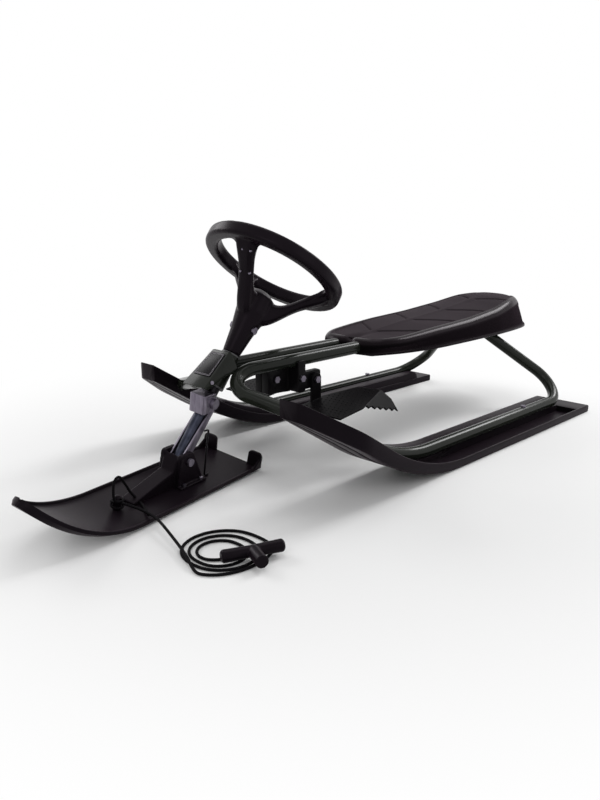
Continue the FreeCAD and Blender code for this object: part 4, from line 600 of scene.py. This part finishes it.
# The bracket's sheet, 3 mm thick, goes round from one cheek's eye over the front to the other's. Its edges
# narrow from the front to a circle about the bolt, and it is turned with the wheel at rest. A flat plate
# closes its top.
plan = rounded_path([(cheek_start, -cheek_side, 0), (cheek_end, -cheek_side, 0), (cheek_end, cheek_side, 0),
                     (cheek_start, cheek_side, 0)], [3, 3], 0.3)
run = run_along(plan)
marks = run[-1] / 2 * (1 - np.cos(np.linspace(0, math.pi, 181)))
plan = np.stack([np.interp(marks, run, column) for column in plan.T], -1)
heading = np.gradient(plan, axis=0)
heading /= np.linalg.norm(heading, axis=1, keepdims=True)
outwards = np.stack([heading[:, 1], -heading[:, 0], heading[:, 2]], -1)
eye = np.sqrt(np.clip(eye_radius ** 2 - (plan[:, 0] - fork_bolt_x) ** 2, 0, None))
high = np.where(plan[:, 0] > upper_x, upper_z + (plan[:, 0] - upper_x) * edge_slope, fork_bolt_z + eye)
low = np.where(plan[:, 0] > lower_x, lower_z - (plan[:, 0] - lower_x) * edge_slope, fork_bolt_z - eye)
rounds = [(sheet_half, 0.5), (1.0, 0), (-1.0, 0), (-sheet_half, 0.5)]
fold = [plan + outwards * out + np.array((0, 0, 1)) * (high - inset)[:, None] for out, inset in rounds]
fold += [plan + outwards * out + np.array((0, 0, 1)) * (low + inset)[:, None] for out, inset in rounds[::-1]]
turned = np.array(mathutils.Matrix.Rotation(math.radians(rest_turn), 3, mathutils.Vector(axis)))
piece = surface("fork_bracket_folded", at((np.stack(fold, 1) - steer_foot) @ turned.T + steer_foot),
                wrap_columns=True, capped=True, sharp=40)
dress(piece, "steering", zinc, "zinc", "fork_bracket")
plate = rounded_path([(825, 15, 0), (837, 15, 0), (837, -15, 0), (811, -15, 0), (811, 15, 0), (825, 15, 0)],
                     [2, 2, 5, 5], 0.6)[1:-1]
middle = np.array((825.0, 0, 0))
layers = [middle + (plate - middle) * shrink + (0, 0, level) for shrink, level in (
    (0, 145.0), (0.96, 145.0), (1, 145.5), (1, 147.5), (0.96, 148.0), (0, 148.0))]
piece = surface("fork_bracket_top", at((np.stack(layers) - steer_foot) @ turned.T + steer_foot),
                wrap_columns=True, sharp=40)
dress(piece, "steering", zinc, "zinc")
dress(eased("fork_channel_folded", "fork_channel", 0.0006), "steering", zinc, "zinc", "fork_channel")


# Front ski: a short wide polyethylene ski with raised edges, a round upturned tip and a tab on each rear
# corner, under a moulded saddle that is screwed to it. It is measured from its bolt, along, across and up.
ski_half, ski_tail, ski_flat, ski_bend_radius, ski_bend = 60.0, -139.0, 128.0, 215.0, math.radians(48.5)
ski_sole, ski_deck, ski_edge, ski_taper = -47.0, 7.0, 11.0, 170.0
tab_width, tab_height, tab_round, brace_length, brace_height = 26.0, 32, 7, 26, 25
chine_start, chine_width, chine_rise, tip_share = 0.3, 11.7, 6, 0.035
hinge = joints["ski_pitch"]
ski_left = np.array(hinge["axis"])
ski_ahead = np.cross(ski_left, (0, 0, 1)) / np.linalg.norm(np.cross(ski_left, (0, 0, 1)))
ski_frame = np.array([ski_ahead, ski_left, np.cross(ski_ahead, ski_left)])


def on_ski(points):
    """Millimetres from the ski's bolt along, across and up, as metres in the row frame."""
    return np.array(hinge["pos_m"]) + np.asarray(points, float) / 1000 @ ski_frame


# Rows run from tail to tip, and columns go round the section. The half width is even, then a quarter
# ellipse to the tip, and every offset from the edge shrinks with it.
tip = ski_flat + ski_bend_radius * ski_bend
tail_rows = ski_tail + np.array([0, 0.5, 2.5, 4.4, 5.0, 5.6, 7, 10, 14, 18, 22, 26, 32, 60])
bend_rows = ski_flat + (tip - ski_flat) * np.sin(np.linspace(0, math.pi / 2, 46))
rows = np.concatenate([tail_rows, [-40, 0, 60, 100], bend_rows])[:, None]
taken = 1 - np.clip((tip - rows) / ski_taper, 0, 1)
half = ski_half * np.sqrt(np.maximum(1 - taken ** 2, tip_share ** 2))
near = [0, 0.15, 0.6, 1.3, 2.2, 3.4, 4.4, 5.0, 5.6, 6.6, 9, 12, 16, 19, 22, 24, 25.4, 26, 26.6, 28,
        34, 44, 53]
top = np.array(near + [ski_half] + [2 * ski_half - offset for offset in reversed(near)])
under = np.array([119.4, 118, 114, 109.5, 107, 100, 80, 60, 40, 20, 13, 10.5, 6, 2, 0.6])
offsets = np.concatenate([top, under])[None, :]
edge = np.minimum(offsets, 2 * ski_half - offsets)
lip = ski_edge - rounding(edge, 1.3)
height = ski_deck + (lip - ski_deck) * (1 - step(edge, 3.8, 6.2))
in_tab = step(edge, -1, 0.1) * (1 - step(edge, tab_width - 0.6, tab_width + 0.6))
in_tab = in_tab * (1 - step(rows, ski_tail + 4.3, ski_tail + 5.7))
tab_top = tab_height - rounding(np.minimum(edge, tab_width - edge), tab_round)
brace = brace_height - (brace_height - ski_deck) * (rows - ski_tail) / brace_length
brace = brace - end_round * (1 - np.clip(edge / end_round, 0, 1))
in_brace = (1 - step(edge, 4.4, 5.6)) * (rows < ski_tail + brace_length)
height = np.maximum(height, ski_deck + (brace - ski_deck) * in_brace)
height = np.maximum(height, ski_deck + (tab_top - ski_deck) * in_tab)
height = height - 0.6 * (rows < ski_tail + 0.3)
chine = np.clip((np.minimum(under, 2 * ski_half - under) - chine_start) / chine_width, 0, 1)
height[:, len(top):] = chine_rise * (1 - chine)
turn = np.clip(rows - ski_flat, 0, None) / ski_bend_radius
x = np.minimum(rows, ski_flat) + (ski_bend_radius - height) * np.sin(turn)
y = half * (1 - offsets / ski_half)
z = ski_sole + ski_bend_radius - (ski_bend_radius - height) * np.cos(turn)
piece = surface("front_ski_moulding", on_ski(np.stack([x, y, z], -1)), wrap_columns=True, capped=True,
                sharp=40)
dress(piece, "ski", polyethylene, "runner_plastic", "front_ski")
saddle = melted("ski_saddle_moulding", "ski_saddle", 0.0012, 5)
dress(saddle, "ski", polyethylene, "runner_plastic", "ski_saddle")


# Springs: a bent wire behind the saddle that brings the ski level, and a coil round the brake's axle that
# lifts the pedals. Both are hard-drawn steel wire, blackened: dark, half glossy and a little mottled.
ski_wire, brake_wire, coil_radius, coil_length, coil_count, turn_points = 1.5, 1.25, 7.95, 28, 7, 28
brake_axle = np.array((620, -14, 141))
black_steel = clouded("blackened_spring_steel", 0.003, 3.0, ("#141316", "#2a282c"), gloss=(0.3, 0.5),
                      Metallic=0.9)
arm = rounded_path([(-53, 17.5, -38.2), (-44, 17.5, -38.2), (-44, 17.5, 39.8), (-35, 17.5, 39.8)],
                   [3, 3], 0.4)
piece = carried("ski_spring_wire", in_mm(on_ski(arm)), ring(ski_wire, 14), ski_left)
dress(piece, "ski", black_steel, "black_steel", "ski_spring")
turn = np.linspace(0, 2 * math.pi * coil_count, turn_points * coil_count)
winding = np.stack([coil_radius * np.sin(turn), coil_length * turn / turn[-1],
                    coil_radius * np.cos(turn)], -1)
winding = np.concatenate([[(604, -14, 148.95)], brake_axle + winding, [(636, 14, 148.95)]])
piece = carried("brake_spring_wound", winding, ring(brake_wire, 12), np.array((0.05, 1.0, 0.02)))
dress(piece, "brake_bar", black_steel, "black_steel", "brake_spring")


# Brake: a housing in two moulded halves bolted under the tubes, and two pedals of folded sheet on one axle,
# with pressed studs against slipping and a toothed claw folded down behind.
stud_pitch, stud_sides = 9.0, 8
plate_rear, plate_front, plate_low, plate_rise = 527, 664, 100, 18
field_side, (outer_x, outer_y, outer_slant) = 135, (527, 104, 29 / 81)
inner_x, inner_y, inner_slant = 535, 72, 23.6 / 55
# Moulded nylon is black and waxy, cloudy over 3 cm. The pedals' black powder coat is duller than the
# frame's, with the same orange peel of 3 mm.
housing_plastic = clouded("moulded_nylon", 0.03, 3.0, ("#0a090b", "#131113"), gloss=(0.26, 0.38),
                          IOR=1.53, Specular_IOR_Level=0.06)
for side in ("left", "right"):
    piece = eased("brake_housing_" + side + "_half", "brake_housing_" + side, 0.0012, 3)
    dress(piece, "frame", housing_plastic, "housing_plastic", "brake_housing_" + side)
pedal_coat = clouded("black_powder_coat", 0.04, 3.0, ("#09080a", "#110f11"), gloss=(0.34, 0.46),
                     relief=orange_peel, IOR=1.5, Specular_IOR_Level=0.03)
# Studs stand in staggered rows on the plate, which rises evenly to the rear, inside its slanted edges. Each
# is a low dome, three rings of eight points with the last one closed.
stud_x, stud_y = np.meshgrid(np.arange(540, 662, stud_pitch), np.arange(52, 138, stud_pitch), indexing="ij")
stud_y = stud_y + stud_pitch / 2 * (np.round((stud_x - 540) / stud_pitch) % 2)
keep = (stud_y < field_side) & (stud_y < outer_y + (stud_x - outer_x) * outer_slant)
keep = keep & (stud_y > inner_y - (stud_x - inner_x) * inner_slant)
stud_z = plate_low + (plate_front - stud_x) * plate_rise / (plate_front - plate_rear)
studs = np.stack([stud_x[keep], stud_y[keep], stud_z[keep]], -1)
dome = np.concatenate([np.concatenate([ring(radius, stud_sides), np.full((stud_sides, 1), rise)], 1)
                       for radius, rise in ((1.7, -0.4), (1.3, 0.35), (0.5, 0.6))])
here = np.arange(stud_sides)
beside = (here + 1) % stud_sides
cells = np.concatenate([np.stack([here, beside, beside + stud_sides, here + stud_sides], -1) + stud_sides * k
                        for k in (0, 1)])
first = np.arange(len(studs))[:, None] * len(dome)
faces = (first[:, :, None] + cells[None]).reshape(-1, 4).tolist()
faces += (first + 2 * stud_sides + here[None]).tolist()
for side, sign in (("left", 1), ("right", -1)):
    pedal = melted("brake_pedal_" + side + "_folded", "brake_pedal_" + side, 0.0008, 3)
    dress(pedal, "brake_bar", pedal_coat, "pedal_paint", "brake_pedal_" + side)
    mesh = bpy.data.meshes.new("pedal_studs_" + side)
    mesh.from_pydata(at(((studs[:, None] + dome[None]) * (1, sign, 1)).reshape(-1, 3)), [], faces)
    dress(finished("pedal_studs_" + side, mesh), "brake_bar", pedal_coat, "pedal_paint")


# Tow rope: a thin braided cord tied to the post on the ski. It goes over the ski's edge to a loose coil on
# the floor and into the middle of a moulded pull handle. Its route is that of its CAD solid, and the coil is
# half loops that narrow inwards, each about its own middle.
rope_radius, hitch_radius, rope_level, loop_step, spline_draw = 2.0, 1.9, 2.2, 30, 0.966
rope_route = np.array([(996, 37, 27), (985, 50, 22), (976, 69, 16.5), (975, 89, 13.5), (979.5, 108, 12.5),
                       (985.5, 130, 11.2), (992, 153, 9.7), (999, 176, 8.8), (1006.5, 198, 7.8),
                       (1013, 215, 4.6), (1016, 226, rope_level)])
coil_turns = [(958, 226.8, 58, 38, 1), (953.5, 204, 53.5, 53.5, -1), (961.5, 212, 45.5, 45.5, 1),
              (957, 204, 41, 41, -1), (965, 212, 33, 33, 1), (960.5, 204, 28.5, 28.5, -1)]
rope_tail = np.array([(988.5, 209, rope_level), (984, 217, rope_level), (972, 227, 2.4), (959, 235, 5.2),
                      (946.1, 243.8, 8.7)])
turn = np.radians(np.arange(loop_step / 2, 180, loop_step))
# The spline touches each run between its points at its middle, which is spline_draw of their distance out.
loops = [np.stack([middle_x + way * reach_x * np.cos(turn) / spline_draw,
                   middle_y + way * reach_y * np.sin(turn) / spline_draw,
                   np.full(len(turn), rope_level)], -1)
         for middle_x, middle_y, reach_x, reach_y, way in coil_turns]


def spline_line(points):
    """Points along the NURBS curve of order 3 that has the points given, in metres, as its control points."""
    curve = bpy.data.curves.new("tow_rope_line", "CURVE")
    curve.dimensions = "3D"
    spline = curve.splines.new("NURBS")
    spline.points.add(len(points) - 1)
    spline.points.foreach_set("co", np.concatenate([points, np.ones((len(points), 1))], 1).ravel())
    spline.order_u, spline.use_endpoint_u, spline.resolution_u = 3, True, 8
    line = linked("tow_rope_line", curve)
    bpy.context.view_layer.update()
    mesh = bpy.data.meshes.new_from_object(line.evaluated_get(bpy.context.evaluated_depsgraph_get()))
    path = np.zeros(len(mesh.vertices) * 3)
    mesh.vertices.foreach_get("co", path)
    bpy.data.objects.remove(line)
    bpy.data.meshes.remove(mesh)
    return path.reshape(-1, 3)


rope_path = spline_line(at(np.concatenate([rope_route] + loops + [rope_tail])))
# The hitch: two turns round the post, then a loop that stands up and comes down beside the run.
post_x, post_y, post_reach = 125, 1.8, 8.4
turn = np.radians(77 - np.arange(0, 721, 30))
hitch = np.stack([post_x + post_reach * np.cos(turn), post_y + post_reach * np.sin(turn),
                  -25 - 10 * np.sin((turn[0] - turn) / 4) ** 2], -1)
loop = np.array([(134, 5, -24), (135, 3, -10), (132, 0, 3), (126, 0, 9.5), (119, 0, 6.5), (113, 0, -3),
                 (107, 0, -11), (99, 0, -24), (91, 4, -34), (91, 12, -37.3), (95, 22, -37.5), (102, 34, -37),
                 (110, 46, -34.5), (115, 52, -33)])
hitch_path = spline_line(on_ski(np.concatenate([hitch, loop])))

# Braided polyester: strands 1.6 mm wide cross at a slant round the cord, dull black, with painted shade in
# the hollows between them and a lighter colour on their crowns. The cord's own map runs round it, strand
# by strand, and along it in turns of the braid.
cord_sides, braid_strands, braid_turn = 12, 4, 0.0062
braid = new_material("braided_polyester", IOR=1.55, Roughness=0.75, Specular_IOR_Level=0.06)[0]
lay = add(braid, "ShaderNodeUVMap", uv_map="braid")
split = add(braid, "ShaderNodeSeparateXYZ", {"Vector": lay.outputs["UV"]})
waves = []
for way in ("ADD", "SUBTRACT"):
    slant = add(braid, "ShaderNodeMath", {0: split.outputs["X"], 1: split.outputs["Y"]}, operation=way)
    angle = add(braid, "ShaderNodeMath", {0: slant.outputs[0], 1: 2 * math.pi}, operation="MULTIPLY")
    waves.append(add(braid, "ShaderNodeMath", {0: angle.outputs[0]}, operation="SINE").outputs[0])
weave = add(braid, "ShaderNodeMath", {0: waves[0], 1: waves[1]}, operation="MULTIPLY")
level = add(braid, "ShaderNodeMapRange", {"Value": weave.outputs[0], "From Min": -1.0, "From Max": 1.0})
# Colour follows the strands' height, as the bump does: painted shade in the hollows, lighter on the crowns.
tint = add(braid, "ShaderNodeValToRGB", {"Fac": level.outputs["Result"]}, feeds=("Color", "Base Color"))
tint.color_ramp.elements[0].color, tint.color_ramp.elements[1].color = colour("#060507"), colour("#121013")
add(braid, "ShaderNodeBump", {"Height": level.outputs["Result"], "Strength": 0.5, "Distance": 0.0004},
    feeds=("Normal", "Normal"))


def cord_tube(name, path, radius, up):
    """Round cord along a path in metres, with a map that counts strands round it and turns along it."""
    piece = carried(name, in_mm(path), ring(radius, cord_sides), np.array(up, float))
    mesh = piece.data
    corner = np.zeros(len(mesh.loops), int)
    mesh.loops.foreach_get("vertex_index", corner)
    run = run_along(path)
    row, column = corner // cord_sides, corner % cord_sides
    count = np.zeros(len(mesh.polygons), int)
    mesh.polygons.foreach_get("loop_total", count)
    face = np.repeat(np.arange(len(count)), count)
    wraps = np.zeros(len(count), bool)
    np.logical_or.at(wraps, face, column == cord_sides - 1)
    around = column / cord_sides + (wraps[face] & (column == 0))
    uv = np.stack([around * braid_strands, run[np.minimum(row, len(run) - 1)] / braid_turn], -1)
    mesh.uv_layers.new(name="braid").data.foreach_set("uv", uv.ravel())
    return piece


rope = cord_tube("tow_rope_cord", rope_path, rope_radius, (0, 0, 1))
dress(rope, "ski", braid, "rope_fibre", "tow_rope", "tow_rope_coil")
knot = cord_tube("tow_rope_hitch", hitch_path, hitch_radius, (0.35, 0.9, 0.25))
dress(knot, "ski", braid, "rope_fibre", "rope_knot")
handle = melted("pull_handle_moulding", "pull_handle", 0.0009, 6)
dress(handle, "ski", wheel_plastic, "grip_plastic", "pull_handle")


# Fasteners, bushes, shaft and brackets: turned, formed or moulded pieces that the CAD solids show whole. They
# keep their shape and take the finish of their slot. The bushes are grey nylon, waxy and finely mottled.
nylon = clouded("grey_nylon", 0.006, 2.0, ("#3a393b", "#4a494c"), IOR=1.53, Roughness=0.45)
finishes = {"runner_plastic": polyethylene, "seat_plastic": polypropylene, "wheel_plastic": wheel_plastic,
            "housing_plastic": housing_plastic, "frame_paint": powder_coat, "pedal_paint": pedal_coat,
            "zinc": zinc, "strut_zinc": dark_zinc, "black_steel": black_steel, "bush_nylon": nylon,
            "panel_film": film, "rope_fibre": braid, "grip_plastic": wheel_plastic}
for part in frame["record"]["subparts"]:
    node = frame["nodes"][part["node"]]
    if not node.hide_render:
        node.data.materials.clear()
        node.data.materials.append(finishes[part["material_slot"]])


# Floor, light and camera: a pale sheet of paper under soft lamps, seen as the photograph was taken. The lamps
# light the floor around the sled, and it fades to plain white further out where it is looked at.
floor_reach, fade_from, fade_to = 30, 0.4, 0.9
camera_place, camera_tilt, camera_turn = (1485.9, 873.3, 425.5), 75, 135
floor_mesh = bpy.data.meshes.new("floor")
floor_mesh.from_pydata([(-floor_reach, -floor_reach, 0), (floor_reach, -floor_reach, 0),
                        (floor_reach, floor_reach, 0), (-floor_reach, floor_reach, 0)], [], [(0, 1, 2, 3)])
floor = linked("floor", floor_mesh)


def looked_at(owner):
    """1 on rays from the camera and on those that gloss and glass send on, 0 on the rest."""
    look = add(owner, "ShaderNodeLightPath").outputs
    seen = look["Is Camera Ray"]
    for kind in ("Is Glossy Ray", "Is Transmission Ray"):
        seen = add(owner, "ShaderNodeMath", {0: seen, 1: look[kind]}, operation="MAXIMUM").outputs[0]
    return seen


# Uncoated paper is matt and nearly white.
pale, place = new_material("pale_floor", Roughness=0.9, Specular_IOR_Level=0.1, Base_Color=colour("#f7f7f7"))
distance = add(pale, "ShaderNodeVectorMath", {0: place}, operation="LENGTH")
far = add(pale, "ShaderNodeMapRange", {"Value": distance.outputs["Value"], "From Min": fade_from,
                                       "From Max": fade_to}, interpolation_type="SMOOTHSTEP")
share = add(pale, "ShaderNodeMath", {0: looked_at(pale), 1: far.outputs["Result"]}, operation="MULTIPLY")
white = add(pale, "ShaderNodeEmission", {"Color": (1, 1, 1, 1), "Strength": 1.0})
paper = pale.node_tree.nodes["Principled BSDF"]
blend = add(pale, "ShaderNodeMixShader", {0: share.outputs[0], 1: paper.outputs["BSDF"],
                                          2: white.outputs["Emission"]})
pale.node_tree.links.new(blend.outputs["Shader"], pale.node_tree.nodes["Material Output"].inputs["Surface"])
floor.data.materials.append(pale)
world = bpy.data.worlds.new("studio")
bpy.context.scene.world = world
world.use_nodes = True
sky = world.node_tree.nodes["Background"]
sky.inputs["Color"].default_value = (1, 1, 1, 1)
reach = add(world, "ShaderNodeMapRange", {"Value": looked_at(world), "To Min": 0.45, "To Max": 1.0})
world.node_tree.links.new(reach.outputs["Result"], sky.inputs["Strength"])
for name, place, aim, size, power in (("top", (-0.25, -0.35, 2.1), (0, 0, 0.1), (1.0, 1.8), 8.0),
                                      ("back", (-2.15, 0.25, 1.85), (-0.2, 0, 0.2), (0.8, 1.2), 31.0),
                                      ("right", (0.6, -2.4, 1.6), (0.1, 0, 0.25), (1.6, 0.9), 18.0),
                                      ("front", (1.9, 0.9, 1.5), (0.2, 0, 0.15), (1.0, 1.0), 4.0),
                                      ("left", (-0.3, 2.2, 1.2), (0, 0, 0.15), (1.2, 1.2), 3.0)):
    lamp = bpy.data.lights.new(name, "AREA")
    lamp.shape, lamp.size, lamp.size_y, lamp.energy = "RECTANGLE", *size, power
    stand = linked(name, lamp)
    stand.location = place
    stand.rotation_mode = "QUATERNION"
    stand.rotation_quaternion = (stand.location - mathutils.Vector(aim)).to_track_quat("Z", "Y")
camera = linked("camera", bpy.data.cameras.new("camera"))
camera.data.lens, camera.data.sensor_width = 32.94, 36.0
camera.location = at(camera_place)
camera.rotation_euler = (math.radians(camera_tilt), 0, math.radians(camera_turn))
bpy.context.scene.camera = camera
bpy.context.scene.view_settings.view_transform = "Standard"
